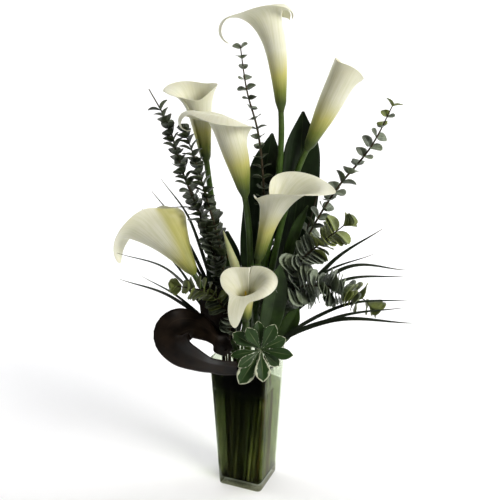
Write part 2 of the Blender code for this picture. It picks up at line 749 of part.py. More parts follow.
def make_sprigs(stems, group, draw):
    for key, sprig in SPRIGS.items():
        name = f"eucalyptus_{key}"
        points = sprig_points(key)[1:]
        leaves = leaf_pairs(name, points, sprig, sprig["span"], draw, group)
        finish(fuse(stems[name], leaves), group, "eucalyptus", name)
    for key, tip in TIPS.items():
        name = f"eucalyptus_{key}_tip"
        points = tip_points(key)
        stem = tube("tip", points, [SPRIG_STEM * part for part in (0.55, 0.5, 0.4)], group, 0)
        leaves = leaf_pairs(name, points, tip, (0.3, 0.95), draw, group)
        finish(fuse(stem, leaves), group, "young", name)


def blade_sides(centres, faces):
    """The way across a leaf at each point, square to its middle line and to the way that its face looks."""
    sides = []
    for index, face in enumerate(faces):
        tangent = centres[min(index + 1, len(centres) - 1)] - centres[max(index - 1, 0)]
        sides.append(tangent.cross(face).normalized())
    return sides


def make_tufts(stems, group):
    """Each tuft's blades rise from inside its stalk and arch over."""
    shape = (0.4, 0.75, 1, 0.95, 0.75, 0.45, 0.12)
    for key, tuft in TUFTS.items():
        name = f"grass_{key}"
        _, mouth = slot_line(tuft["slot"])
        top = mm(*tuft["top"])
        blades = []
        for middle, end, width in tuft["blades"]:
            path = spline([mouth.lerp(top, 0.6), mm(*middle), mm(*end)], start=top - mouth)
            centres = resample(path, len(shape))
            sides = blade_sides(centres, [GRASS_FACE] * len(shape))
            halves = [max(0.4 * MM, width * MM / 2 * part) for part in shape]
            blades.append(ribbon("blade", centres, sides, halves, 1, 0, group))
        finish(fuse(stems[name], blades), group, "grass", name)


def make_broad_leaves(stems, group):
    shape = (0.12, 0.62, 0.92, 1, 0.98, 0.82, 0.06)
    for key, leaf in BROAD.items():
        name = f"broad_leaf_{key}"
        points = [mm(*point) for point in leaf["points"]]
        start = points[0] - (points[1] - points[0]).normalized() * BLADE_SINK
        centres = resample(spline([start] + points[1:]), len(shape))
        sides = blade_sides(centres, [Vector(leaf["face"])] * len(shape))
        halves = [max(STALK * 0.5, leaf["width"] * MM / 2 * part) for part in shape]
        blade = ribbon("blade", centres, sides, halves, 2, 0.22, group)
        finish(fuse(stems[name], [blade]), group, "broad", name)


def make_dark_leaves(stems, group):
    for key, leaf in DARK.items():
        name = f"dark_leaf_{key}"
        points = [mm(*point) for point in leaf["points"]]
        rows = 12 if len(points) > 3 else 7
        start = points[0] - (points[1] - points[0]).normalized() * BLADE_SINK
        centres = resample(spline([start] + points[1:]), rows)
        faces = [between(leaf["faces"], row / (rows - 1)) for row in range(rows)]
        sides = blade_sides(centres, faces)
        span = leaf.get("span", 0.9)
        shape = [math.sin(math.pi * (0.04 + span * row / (rows - 1))) ** 0.6 for row in range(rows)]
        halves = [max(STALK * 0.5, leaf["width"] * MM / 2 * part) for part in shape]
        blade = ribbon("blade", centres, sides, halves, 2, 0.12, group)
        finish(fuse(stems[name], [blade]), group, "dark", name)


def make_rosette(stems, group):
    """Leaves spread from one point, facing the viewer and leaning a little out of their plane."""
    name = "white_edged_rosette"
    middle = mm(*ROSETTE_MIDDLE)
    out = Vector((0, -0.95, 0.3))
    upward = Vector((0, 0.3, 0.95))
    shape = ((0.03, 0.07), (0.3, 0.34), (0.68, 1), (1, 0.2))
    leaves = []
    for index, (clock, length, width) in enumerate(ROSETTE_LEAVES):
        angle = math.radians(clock)
        flat = Vector((math.cos(angle), 0, 0)) + upward * math.sin(angle)
        lean = 0.18 + 0.4 * (index % 2)
        along = (flat + out * lean).normalized()
        across = along.cross(out).normalized()
        facing = across.cross(along)
        centres = [middle + along * length * MM * s - facing * length * MM * 0.18 * s * s for s, _ in shape]
        halves = [width * MM / 2 * half for _, half in shape]
        leaves.append(ribbon("leaf", centres, [across] * len(shape), halves, 2, 0.2, group))
    finish(fuse(stems[name], leaves), group, "rosette", name)


def make_bud(group):
    base, tip = mm(*BUD_BASE), mm(*BUD_TIP)
    along = (tip - base).normalized()
    points = stem_points(BUD_SLOT, [base], 6, end=along)
    finish(tube("stem", points, [STALK] * len(points), group, 1), group, "stem", "pale_bud_stem")
    start = base + along * GAP
    shape = ((0, 0.5), (0.12, 0.85), (0.3, 1), (0.6, 0.65), (1, 0.1))
    points = [start.lerp(tip, part) for part, _ in shape]
    finish(tube("bud", points, [BUD_RADIUS * width for _, width in shape], group), group, "bud", "pale_bud")


def water_lines():
    """The straight stretch and the radius of every stem, for the holes in the water."""
    lines = [(*slot_line(lily["slot"], True), LILY_STEM) for lily in LILIES.values()]
    lines += [(*slot_line(sprig["slot"]), SPRIG_STEM) for sprig in SPRIGS.values()]
    stalks = [leaf["slot"] for leaf in [*TUFTS.values(), *BROAD.values(), *DARK.values()]] + [BUD_SLOT]
    lines += [(*slot_line(slot), STALK) for slot in stalks]
    lines.append((*slot_line(ROSETTE_SLOT), SPRIG_STEM))
    return lines


def main():
    clear_scene()
    PLACED.clear()
    group = new_collection("calla_lilies_in_a_vase")
    new_collection("cutters")
    draw = random.Random(SEED)
    make_vase(group)
    make_water(group, water_lines())
    for key, lily in LILIES.items():
        make_lily_stem(key, lily, group)
        make_spathe(key, lily, group)
        make_spadix(key, lily, group)
    make_bud(group)
    stems = make_tube_stems(group)
    make_broad_leaves(stems, group)
    make_dark_leaves(stems, group)
    make_tufts(stems, group)
    make_rosette(stems, group)
    make_sprigs(stems, group, draw)


main()
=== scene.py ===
"""Dresses the calla lily bouquet: vase and water, lilies, a bud, eucalyptus, grass, leaves and a rosette.

Laid out as an add-on and run as a script. Lengths are in metres, the origin is the middle of the vase's
foot on the surface that it stands on, and the bouquet is seen from -Y.
"""

import json
import math
import random

import bpy
import numpy as np
from bpy.props import FloatProperty, FloatVectorProperty, IntProperty, PointerProperty
from mathutils import Matrix, Quaternion, Vector
from mathutils.bvhtree import BVHTree

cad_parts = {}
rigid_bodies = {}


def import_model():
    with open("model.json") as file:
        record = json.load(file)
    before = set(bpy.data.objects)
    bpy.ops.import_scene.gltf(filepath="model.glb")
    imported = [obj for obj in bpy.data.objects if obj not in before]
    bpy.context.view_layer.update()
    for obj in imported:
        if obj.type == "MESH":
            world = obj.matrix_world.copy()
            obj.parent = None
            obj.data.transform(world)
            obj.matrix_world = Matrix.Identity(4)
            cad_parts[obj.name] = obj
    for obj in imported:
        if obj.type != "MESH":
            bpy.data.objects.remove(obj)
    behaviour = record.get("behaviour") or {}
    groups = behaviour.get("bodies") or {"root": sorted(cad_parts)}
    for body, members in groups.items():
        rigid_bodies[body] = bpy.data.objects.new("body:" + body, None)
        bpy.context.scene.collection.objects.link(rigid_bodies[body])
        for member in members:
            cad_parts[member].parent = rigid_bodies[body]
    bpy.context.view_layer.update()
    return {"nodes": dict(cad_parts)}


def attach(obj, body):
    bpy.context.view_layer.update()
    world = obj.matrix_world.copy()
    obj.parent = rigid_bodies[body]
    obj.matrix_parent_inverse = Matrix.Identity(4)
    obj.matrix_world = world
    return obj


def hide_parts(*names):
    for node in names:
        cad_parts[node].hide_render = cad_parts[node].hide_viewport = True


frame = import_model()

bl_info = {
    "name": "Calla Lily Bouquet",
    "version": (1, 0, 0),
    "blender": (4, 5, 0),
    "location": "3D View > Sidebar > Bouquet",
    "description": "Makes a vase of calla lilies with mixed greenery around its packed solids",
    "category": "Add Mesh",
}

MM = 0.001
GAP = 0.3 * MM
UP = Vector((0, 0, 1))
SEED = 7
TAU = math.tau

VASE_TURN = math.radians(-22.9)
OUTER_CORNER = 8 * MM
INNER_CORNER = 5 * MM
FOOT_ROUND = 3 * MM
RIM_ROUND = 1.6 * MM
HOLLOW_ROUND = 2 * MM
# How far over the water's surface a stem's evenly spread points begin.
HOLE_OVER = 6 * MM

# How far round the vase a stem's foot stands from its place at the mouth, and how far out the inner and the
# outer ring of stems stand.
TWIST = math.radians(-28)
CORE_MOUTH = 22 * MM
CORE_FOOT = 17.5 * MM
RING_MOUTH = 37 * MM
RING_FOOT = 29 * MM
CORNER_REACH = 0.45

LILY_STEM = 6 * MM
LILY_NECK = 3.9 * MM
SPATHE_SPIRAL = 2.6 * MM
SPATHE_SLEEVE = 7 * MM
SPATHE_ROWS = 84
SPATHE_COLUMNS = 97
# The height over which a spathe's colours run: SPATHE_TONE, or for a short one RIPE times its mean length.
SPATHE_TONE = 200 * MM
RIPE = 1.45
# The tone half way from the neck's colour to the throat's, to which the painted shade on one side of a spathe
# draws its tone back.
THROAT_TONE = 0.225
FOOT_CLOSES = 0.09
NECK_CLEARANCE = 0.5 * MM
MERIDIAN_STEPS = 48
TUBE_LEAN = 4
WRAP_FOOT = math.radians(195)
WRAP_START = 0.3
TAIL_SPREAD = 0.25
ROLL_START = 0.77
SPADIX_LENGTH = 48 * MM
SPADIX_RADIUS = 3 * MM
GOLDEN_TURN = 2.39996

SPRIG_STEM = 1.7 * MM
STALK = 2.3 * MM
LEAF_RATIO = 0.98
# How near a leaf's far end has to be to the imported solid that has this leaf.
LEAF_MATCH = 0.12 * MM
BLADE_SINK = 8 * MM
BLADE_THICK = 0.8 * MM
ROSETTE_THICK = 0.7 * MM
BUD_RADIUS = 7 * MM

# How much of a clear surface's plain reflection is kept, so that the pale floor doesn't veil the stalks.
MIRRORED = (0.25, 0.26, 0.24)
# How much glass and water bend the light: less than real ones, so that a face seen at a slant stays clear.
GLASS_BEND = 1.12
WATER_BEND = 1.05
# How far in from the left face its painted shade starts, and over what depth it grows.
LEFT_DEPTH = 12 * MM
LEFT_BLEND = 8 * MM

# What is added to a leaf's tone to mark it as young.
YOUNG = 2.0
# How much darker a young leaf is below than above: painted shade on its underside, as on the other leaves.
YOUNG_BELOW = 0.42

# The tries for a leaf pair: both leaves, then one alone, and the turn and lift that are added, in degrees.
BOTH = (1, -1)
LEAF_TRIES = [(BOTH, turn, lift) for lift in (0, -16, 14) for turn in (0, 20, -20, 42, -42, 68, -68)]
LEAF_TRIES += [(one, turn, lift) for lift in (0, -20) for turn in (0, 35, -35, 80, -80)
               for one in ((1,), (-1,))]

# How far down the camera looks, how far off and how far to the right it stands, its lens, and the height that
# it is aimed at.
VIEW_PITCH = math.radians(17.3)
VIEW_AWAY = 1.2
VIEW_SIDE = 0.00365
VIEW_LENS = 56.2
MIDDLE_HEIGHT = 0.4

# Lengths are in millimetres and angles in degrees. The three values of length, flare and roll are those at
# the tip, at the sides and at the overlap. start is the tone at the foot. The painted side shade is how far
# one side's tone is drawn back to THROAT_TONE, which paints shade on that side.
LILIES = {
    "top": dict(slot=90, base=(50, 30, 607), axis=(-6, -2, 80), tip=(-1, -0.1, 0), length=(167, 176, 170),
                flare=(94, 40, -30), flare_sway=-20, roll=(0, 90, 230), tail=50, curl=160, wrap=158, late=3.5,
                tube=3.5, belly=2),
    "right": dict(slot=30, base=(89, 27, 550), axis=(37, -4, 80), tip=(0.9, 0.5, 0), length=(128, 140, 139),
                  flare=(8, 11, 8), roll=(45, 0, 0), tail=8, curl=20, wrap=186, late=1, belly=4, shift=120),
    "left_back": dict(slot=150, base=(-63, 40, 529), axis=(-8, -4, 80), tip=(-1, 0.2, 0),
                      length=(132, 110, 118), skew=-9, flare=(88, 30, 38), roll=(0, 0, 0), tail=6, curl=80,
                      wrap=182, late=4.5, tube=6, belly=2, shift=-130),
    "left_front": dict(slot=None, base=(-4, -18, 487), axis=(-14, -3, 75), tip=(-1, -0.2, 0),
                       length=(165, 150, 94), flare=(84, 40, 8), flare_sway=-24, roll=(20, 120, 20),
                       roll_from=0.7, tail=38, curl=170, wrap=158, late=5, tube=7, belly=5),
    "centre": dict(slot=-30, base=(16, -28, 389), axis=(14, -3, 59), tip=(1, -0.1, 0.1),
                   length=(174, 138, 104), skew=4, flare=(88, 46, 4), roll=(10, 15, 40), tail=2, curl=10,
                   wrap=172, late=2.4, shift=-20, hand=-1, peel=20),
    "low_left": dict(slot=-150, base=(-82, -12, 364), axis=(-34, 16, 50), tip=(-1, 0.1, -0.5),
                     length=(143, 127, 106), flare=(52, 12, 34), roll=(80, 20, -66), tail=26, curl=40,
                     wrap=184, late=1.4, tube=14, painted_side_shade=0.8, start=0.15),
    "low_front": dict(slot=-90, base=(-2, -55, 305), axis=(-1, -15, 54), tip=(-0.32, -0.95, -0.3),
                      length=(76, 97, 86), skew=8, flare=(60, 78, 34), flare_sway=8, roll=(50, 30, 30),
                      roll_sway=40, tail=42, curl=80, wrap=180, late=2.6),
}

# span is the part of a sprig that has leaf pairs, leaf is their width along it in millimetres, and between is
# how many more pairs are tried after each. Each sprig's amount of pale bloom is set low on the left sprigs
# and high on the right ones, so it paints shade and light on them as well as bloom.
SPRIGS = {
    "left_outer": dict(slot=163, points=((-50, -5, 385), (-97, -10, 527), (-115, -12, 594), (-141, -12, 645)),
                       span=(0.32, 0.93), pairs=11, leaf=(25, 23, 19), lift=58, bloom_and_light=0.16, between=2),
    "left_inner": dict(slot=178, points=((-39, -10, 388), (-60, -16, 483), (-81, -18, 558), (-93, -18, 588)),
                       span=(0.38, 0.99), pairs=10, leaf=(25, 22, 18), lift=58, bloom_and_light=0.12, between=2),
    "thin": dict(slot=110, points=((26, 35, 371), (25, 39, 484), (16, 42, 574), (-1, 42, 637),
                                   (-11, 40, 704)),
                 span=(0.42, 0.99), pairs=11, leaf=(18, 17, 14), lift=70, bloom_and_light=0.3),
    "tall_right": dict(slot=12, points=((66, 10, 356), (100, 8, 434), (136, 0, 499), (181, -8, 561),
                                        (210, -14, 625)),
                       span=(0.44, 0.99), pairs=9, leaf=(24, 22, 16), lift=65, bloom_and_light=0.42, young=0.85),
    "woody_right": dict(slot=24, points=((67, 20, 352), (92, 22, 425), (108, 22, 487)),
                        span=(0.80, 0.90), pairs=1, leaf=(17, 16, 15), lift=65, bloom_and_light=0.35),
    "mid_right": dict(slot=0, points=((50, -14, 325), (79, -28, 390), (115, -34, 426), (138, -37, 446)),
                      span=(0.38, 0.97), pairs=9, leaf=(32, 33, 27), lift=74, twist=25, bloom_and_light=0.62,
                      young=0.72, between=3),
    "low_right": dict(slot=-36, points=((42, -28, 314), (71, -38, 351), (123, -51, 358), (170, -58, 343)),
                      span=(0.42, 0.97), pairs=9, leaf=(33, 38, 30), lift=82, twist=14, bloom_and_light=0.55,
                      young=0.88, between=3),
    "low_left": dict(slot=-139, points=((-30, -31, 300), (-54, -46, 345), (-94, -56, 360)),
                     span=(0.42, 0.96), pairs=6, leaf=(25, 26, 21), lift=72, twist=20, bloom_and_light=0.4, young=0.45,
                     between=2),
}

TIPS = {
    "mid_right": dict(end=(149, -38, 456), pairs=2, leaf=(20, 17, 14), lift=50, bloom_and_light=0.5, between=3),
    "low_right": dict(end=(188, -60, 331), pairs=2, leaf=(24, 19, 17), lift=50, bloom_and_light=0.5, between=3),
    "low_left": dict(end=(-109, -59, 362), pairs=2, leaf=(17, 15, 13), lift=50, bloom_and_light=0.5, between=2),
}

# Each blade's middle, its end and its width.
TUFTS = {
    "left_high": dict(slot=147, top=(-38, 22, 262), blades=(
        ((-92, 44, 438), (-135, 48, 501), 6), ((-108, 50, 422), (-152, 58, 480), 6),
        ((-112, 60, 397), (-171, 76, 446), 5), ((-74, 42, 448), (-128, 62, 453), 7))),
    "left_low": dict(slot=-168, top=(-42, -11, 250), blades=(
        ((-118, -10, 368), (-199, -12, 399), 5), ((-112, -18, 326), (-195, -24, 361), 6),
        ((-100, -14, 322), (-161, -20, 364), 5), ((-98, 24, 346), (-152, 42, 408), 5))),
    "right_high": dict(slot=-12, top=(44, -6, 258), blades=(
        ((128, 2, 377), (206, 0, 434), 8), ((150, 6, 368), (247, 4, 366), 8),
        ((140, -4, 348), (242, -4, 359), 7), ((112, 12, 352), (196, 16, 388), 6))),
    "right_low": dict(slot=-49, top=(34, -40, 250), blades=(
        ((140, -62, 332), (239, -70, 345), 6), ((132, -68, 316), (230, -74, 334), 6),
        ((122, -58, 306), (242, -80, 312), 8))),
}
GRASS_FACE = Vector((0, -0.7, 0.7))

# fresh is how far a blade's green is from the darkest to the freshest.
BROAD = {
    "back_right": dict(slot=58, points=((52, 36, 320), (68, 40, 400), (80, 44, 500), (84, 44, 606)),
                       width=62, face=(0.1, -1, 0.1)),
    "back_middle": dict(slot=92, points=((1, 48, 320), (13, 55, 400), (26, 58, 500), (38, 57, 571)),
                        width=58, face=(0.2, -1, 0.1)),
    "strap": dict(slot=38, points=((46, 22, 300), (56, 18, 355), (74, 14, 425), (92, 10, 468)),
                  width=18, face=(-0.4, -1, 0), fresh=0.6),
    "back_left": dict(slot=130, points=((-30, 32, 300), (-40, 40, 371), (-52, 44, 436)),
                      width=24, face=(-0.3, -1, 0.1), fresh=0.8),
    "front_right": dict(slot=-62, points=((24, -43, 256), (37, -47, 318), (48, -48, 392)),
                        width=36, face=(0.2, -1, 0.2), fresh=0.4),
    "folded": dict(slot=-24, points=((48, -24, 256), (64, -38, 290), (78, -46, 322)),
                   width=26, face=(-0.5, -1, 0.4), fresh=1.0),
    "shaded_left": dict(slot=120, points=((-20, 44, 242), (-33, 53, 300), (-38, 60, 358), (-33, 65, 412)),
                        width=58, face=(-0.1, -1, 0.1), fresh=0.15),
    "shaded_right": dict(slot=68, points=((22, 45, 264), (38, 52, 312), (54, 57, 362), (63, 60, 416)),
                         width=46, face=(0.1, -1, 0.1), fresh=0.15),
}

DARK = {
    "standing": dict(slot=-154, points=((-38, -24, 262), (-45, -24, 304), (-62, -23, 350)), width=52,
                     faces=((0, -1, 0.1), (0, -1, 0.1))),
    "looped": dict(slot=-122, points=((-34, -42, 252), (-62, -50, 286), (-90, -54, 298), (-112, -62, 288),
                                      (-102, -73, 268), (-76, -80, 255), (-46, -85, 247), (-16, -86, 244)),
                   width=60, span=0.8,
                   faces=((-0.2, -1, 0.3), (-0.1, -0.3, 1), (-0.2, -0.4, 0.8), (-0.3, -1, 0.1),
                          (-0.3, -0.9, -0.3), (-0.3, -0.7, -0.6), (-0.2, -0.8, -0.5))),
}

ROSETTE_SLOT = -76
ROSETTE_MIDDLE = (20, -76, 268)
# Each leaf's direction as seen from the front, its length and its width.
ROSETTE_LEAVES = ((150, 48, 22), (122, 42, 20), (96, 42, 18), (62, 46, 22), (24, 40, 20), (-8, 50, 18),
                  (192, 46, 14), (216, 44, 16), (238, 60, 27), (274, 48, 24), (318, 36, 18))
# How wide the pale margin of each rosette leaf is, as a share of its half width.
ROSETTE_MARGINS = (0.05, 0.02, 0.0, 0.02, 0.05, -0.05, 0.03, 0.07, 0.26, 0.30, 0.12)

BUD_SLOT = -106
BUD_BASE = (-13, -35, 368)
BUD_TIP = (-36, -36, 441)

# What a growth's points are, so that its tree knows what to make of them.
TUBE, BLADE, LEAF, SHEET = 0, 1, 2, 3


def colour_prop(name, text, default):
    return FloatVectorProperty(name=name, description=text, subtype="COLOR", size=3, min=0, max=1,
                               default=default)


def length_prop(name, text, default):
    return FloatProperty(name=name, description=text, unit="LENGTH", min=0, precision=5, default=default)


def power_prop(name, text, default):
    return FloatProperty(name=name, description=text, subtype="POWER", unit="POWER", min=0, default=default)


class VaseSettings(bpy.types.PropertyGroup):
    height: length_prop("Height", "Height of the vase", 0.230)
    mouth_side: length_prop("Mouth", "Outer side of the square at the mouth", 0.095)
    foot_side: length_prop("Foot", "Outer side of the square at the foot", 0.075)
    wall: length_prop("Wall", "Thickness of the glass wall", 0.004)
    base: length_prop("Base", "Thickness of the glass base", 0.012)
    water_level: length_prop("Water Level", "Height of the water's surface", 0.172)
    glass: colour_prop("Glass", "Tint of the glass", (0.66, 0.72, 0.58))
    water: colour_prop("Water", "Tint of the water where it is lit", (0.42, 0.47, 0.24))
    # Painted shade: the near-black tint that the water and the glass take by the left face.
    shade: colour_prop("Shade", "Tint of the water beside the left face", (0.007, 0.0085, 0.0024))


class LilySettings(bpy.types.PropertyGroup):
    sheet: length_prop("Sheet", "Thickness of a spathe's sheet low down", 0.0012)
    rim: length_prop("Rim", "Thickness of a spathe's sheet at its rim", 0.0006)
    cream: colour_prop("Cream", "Upper part of a spathe", (0.70, 0.70, 0.58))
    throat: colour_prop("Throat", "Yellowish middle of a spathe's tube", (0.49, 0.47, 0.16))
    neck: colour_prop("Neck", "Olive lower part of a spathe's tube", (0.18, 0.21, 0.04))
    foot: colour_prop("Foot", "Green foot of a spathe", (0.050, 0.076, 0.015))
    stem: colour_prop("Stem", "Lily stem", (0.052, 0.108, 0.013))
    spadix: colour_prop("Spadix", "Yellow spike inside a spathe", (0.75, 0.50, 0.06))
    grains: IntProperty(name="Grains", description="Grains on a spadix", min=10, default=300)


class FoliageSettings(bpy.types.PropertyGroup):
    eucalyptus: colour_prop("Eucalyptus", "Underside and shaded part of a eucalyptus leaf",
                            (0.015, 0.021, 0.009))
    # Painted light: this bloom colour also stands for the light falling on the leaves' upper sides.
    bloom_and_light: colour_prop("Frost", "Waxy bloom on the upper side of a eucalyptus leaf", (0.35, 0.41, 0.32))
    twig: colour_prop("Twig", "Eucalyptus stem", (0.055, 0.040, 0.020))
    young: colour_prop("Young Leaf", "Young eucalyptus tips", (0.24, 0.29, 0.08))
    grass: colour_prop("Grass", "Grass blades", (0.008, 0.013, 0.006))
    broad: colour_prop("Broad Leaf", "Broad leaves", (0.005, 0.012, 0.004))
    vein: colour_prop("Vein", "Veins of the broad leaves", (0.030, 0.048, 0.018))
    dark: colour_prop("Dark Leaf", "Brown-black leaves", (0.0045, 0.0030, 0.0022))
    rosette: colour_prop("Rosette", "Green of the white-edged leaves", (0.013, 0.030, 0.007))
    margin: colour_prop("Margin", "White edges of the rosette", (0.50, 0.53, 0.38))
    bud: colour_prop("Bud", "The pale bud", (0.48, 0.49, 0.26))


class StageSettings(bpy.types.PropertyGroup):
    floor: colour_prop("Floor", "Floor and backdrop", (0.92, 0.93, 0.95))
    key: power_prop("Key Light", "Power of the soft light from the right front", 50)
    fill: power_prop("Fill Light", "Power of the soft light from the left", 1.5)
    back: power_prop("Backdrop Light", "Power of each soft light on the backdrop alone", 28)
    sky: FloatProperty(name="Surround", description="Strength of the even light all round", min=0,
                       default=0.09)


class BouquetSettings(bpy.types.PropertyGroup):
    vase: PointerProperty(type=VaseSettings)
    lilies: PointerProperty(type=LilySettings)
    foliage: PointerProperty(type=FoliageSettings)
    stage: PointerProperty(type=StageSettings)


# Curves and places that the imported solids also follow

def mm(x, y, z):
    """A point or an offset given in millimetres."""
    return Vector((x, y, z)) * MM


def spline(points, start=None, end=None, steps=20):
    """A dense smooth curve through the points, with its first and last directions if they are given."""
    last = len(points) - 1
    tangents = []
    for index, point in enumerate(points):
        if index == 0:
            reach = (points[1] - point).length
            tangents.append(start.normalized() * reach if start else points[1] - point)
        elif index == last:
            reach = (point - points[-2]).length
            tangents.append(end.normalized() * reach if end else point - points[-2])
        else:
            before = point - points[index - 1]
            after = points[index + 1] - point
            mean = (before.normalized() + after.normalized()).normalized()
            tangents.append(mean * min(before.length, after.length) * 1.1)
    dense = []
    for index in range(last):
        for step in range(steps + (index == last - 1)):
            t = step / steps
            dense.append(
                points[index] * (1 + 2 * t) * (1 - t) ** 2
                + tangents[index] * t * (1 - t) ** 2
                + points[index + 1] * t * t * (3 - 2 * t)
                + tangents[index + 1] * t * t * (t - 1)
            )
    return dense


def resample(dense, count):
    """The given number of points, evenly far apart along a dense curve."""
    lengths = [0.0]
    for before, after in zip(dense, dense[1:]):
        lengths.append(lengths[-1] + (after - before).length)
    spread = []
    index = 0
    for step in range(count):
        target = lengths[-1] * step / (count - 1)
        while index < len(dense) - 2 and lengths[index + 1] < target:
            index += 1
        part = (target - lengths[index]) / (lengths[index + 1] - lengths[index])
        spread.append(dense[index].lerp(dense[index + 1], part))
    return spread


def between(vectors, part):
    """The vector at a part of the way along a list of them."""
    at = part * (len(vectors) - 1)
    index = min(int(at), len(vectors) - 2)
    return Vector(vectors[index]).lerp(Vector(vectors[index + 1]), at - index)


def flowing(values, count):
    """Numbers that run smoothly through a short list of them."""
    values = np.asarray(values, float)
    at = np.linspace(0, len(values) - 1, count)
    index = np.minimum(at.astype(int), len(values) - 2)
    t = at - index
    slope = np.gradient(values)
    return (values[index] * (1 + 2 * t) * (1 - t) ** 2 + slope[index] * t * (1 - t) ** 2
            + values[index + 1] * t * t * (3 - 2 * t) + slope[index + 1] * t * t * (t - 1))


def side_reach(angle):
    """How much farther than a circle the vase's square lets a stem stand at that angle."""
    off = angle - VASE_TURN
    return (1 / max(abs(math.cos(off)), abs(math.sin(off)))) ** CORNER_REACH


def slot_line(vase, degrees, core=False):
    """The foot and mouth points of a stem's straight stretch, whose leaning foot just clears the base."""
    if degrees is None:
        return UP * (vase.base + GAP), UP * vase.height
    mouth_angle = math.radians(degrees)
    foot_angle = mouth_angle + TWIST
    mouth_radius = CORE_MOUTH if core else RING_MOUTH * side_reach(mouth_angle)
    foot_radius = CORE_FOOT if core else RING_FOOT * side_reach(foot_angle)
    mouth = Vector((math.cos(mouth_angle), math.sin(mouth_angle), 0)) * mouth_radius
    foot = Vector((math.cos(foot_angle), math.sin(foot_angle), 0)) * foot_radius
    slant = (mouth - foot).length / (vase.height - vase.base)
    rise = GAP + slant * (LILY_STEM if core else STALK)
    return foot + UP * (vase.base + rise), mouth + UP * vase.height


def stem_points(vase, slot, above, count, core=False, end=None, low=1):
    """A stem's foot, the given number of steps through the water, then evenly spread points to its end."""
    foot, mouth = slot_line(vase, slot, core)
    along = (mouth - foot).normalized()
    surface = foot.lerp(mouth, (vase.water_level + HOLE_OVER - foot.z) / (mouth.z - foot.z))
    return ([foot.lerp(surface, step / low) for step in range(low)]
            + resample(spline([surface, mouth] + above, start=along, end=end), count))


def tangent_at(points, index):
    """The way from the point before one to the point after it."""
    return points[min(index + 1, len(points) - 1)] - points[max(index - 1, 0)]


def blade_sides(centres, faces):
    """The way across a leaf at each point, square to its middle line and to the way that its face looks."""
    return [tangent_at(centres, index).cross(face).normalized() for index, face in enumerate(faces)]


def grid_normals(grid):
    """The unit normal at each point of a grid."""
    normal = np.cross(np.gradient(grid, axis=1), np.gradient(grid, axis=0))
    return normal / np.maximum(np.linalg.norm(normal, axis=2, keepdims=True), 1e-12)


def placed(name, data):
    """A new object of a mesh, a light or a camera, in the scene."""
    item = bpy.data.objects.new(name, data)
    bpy.context.scene.collection.objects.link(item)
    return item


# What a plant is grown from

class Growth:
    """Lines, points and sheets that one tree of nodes turns into tubes, blades, leaves and skins."""

    FIELDS = {"kind": "FLOAT", "along": "FLOAT", "tone": "FLOAT", "size": "FLOAT_VECTOR",
              "facing": "FLOAT_VECTOR", "section": "FLOAT_VECTOR", "turn": "QUATERNION"}
    PLAIN = {"kind": 0.0, "along": 0.0, "tone": 0.5, "size": (0, 0, 0), "facing": (0, -1, 0),
             "section": (0, 0, 0), "turn": (1, 0, 0, 0)}

    def __init__(self):
        self.points = []
        self.edges = []
        self.faces = []
        self.data = {name: [] for name in self.FIELDS}

    def add(self, point, **data):
        self.points.append(tuple(point))
        for name, plain in self.PLAIN.items():
            self.data[name].append(data.get(name, plain))
        return len(self.points) - 1

    def line(self, points, halves, kind=TUBE, facings=None, tone=0.5, start=0.0, end=1.0):
        """A line for a tube or a blade, with its half width and the way its face looks at each point."""
        before = None
        for index, (point, half) in enumerate(zip(points, halves)):
            along = start + (end - start) * index / (len(points) - 1)
            facing = tuple(facings[index]) if facings else (0, -1, 0)
            here = self.add(point, kind=kind, along=along, tone=tone, size=(half, half, half), facing=facing)
            if before is not None:
                self.edges.append((before, here))
            before = here

    def leaf(self, place, across, along, normal, width, length, tone):
        """A point that carries one round leaf."""
        turn = Matrix((across, along, normal)).transposed().to_quaternion()
        self.add(place, kind=LEAF, turn=tuple(turn), size=(width, length, width), tone=tone)

    def sheet(self, grid, halves, tone=0.5):
        """A closed thin skin on a grid of points, from its half thickness and its tone at each of them."""
        rows, columns, _ = grid.shape
        tones = np.broadcast_to(tone, (rows, columns))
        normal = grid_normals(grid)
        first = len(self.points)
        for side in (1, -1):
            shifted = grid + normal * (halves * side)[..., None]
            for row in range(rows):
                for column in range(columns):
                    self.add(shifted[row, column], kind=SHEET, along=row / (rows - 1),
                             tone=tones[row, column], section=(2 * column / (columns - 1) - 1, 0, side))
        far = first + rows * columns
        spot = np.arange(rows * columns).reshape(rows, columns)
        for row in range(rows - 1):
            for column in range(columns - 1):
                a, b = spot[row, column], spot[row, column + 1]
                c, d = spot[row + 1, column + 1], spot[row + 1, column]
                self.faces.append((first + a, first + b, first + c, first + d))
                self.faces.append((far + d, far + c, far + b, far + a))
        loop = [*spot[0, :-1], *spot[:-1, -1], *spot[-1, :0:-1], *spot[:0:-1, 0]]
        for a, b in zip(loop, loop[1:] + loop[:1]):
            self.faces.append((first + b, first + a, far + a, far + b))

    def ribbon(self, centres, sides, halves, columns, fold, thickness, tone=0.5, ripple=None):
        """A leaf sheet across a centre line, whose edges rise by the fold times the half width."""
        grid = np.zeros((len(centres), columns, 3))
        for row, centre in enumerate(centres):
            lift = sides[row].cross(tangent_at(centres, row)).normalized()
            for column in range(columns):
                across = 2 * column / (columns - 1) - 1
                rise = fold * abs(across)
                if ripple:
                    rise += ripple(row / (len(centres) - 1), across)
                grid[row, column] = centre + (sides[row] * across + lift * rise) * halves[row]
        self.sheet(grid, np.full((len(centres), columns), thickness / 2), tone)

    def mesh(self, name):
        """The points, lines and faces as a mesh, with what each point carries as its attributes."""
        mesh = bpy.data.meshes.new(name)
        mesh.from_pydata(self.points, self.edges, self.faces)
        for field, kind in self.FIELDS.items():
            layer = mesh.attributes.new(field, kind, "POINT")
            if kind == "FLOAT":
                layer.data.foreach_set("value", self.data[field])
            else:
                slot = "vector" if kind == "FLOAT_VECTOR" else "value"
                layer.data.foreach_set(slot, np.asarray(self.data[field], np.float32).ravel())
        return mesh


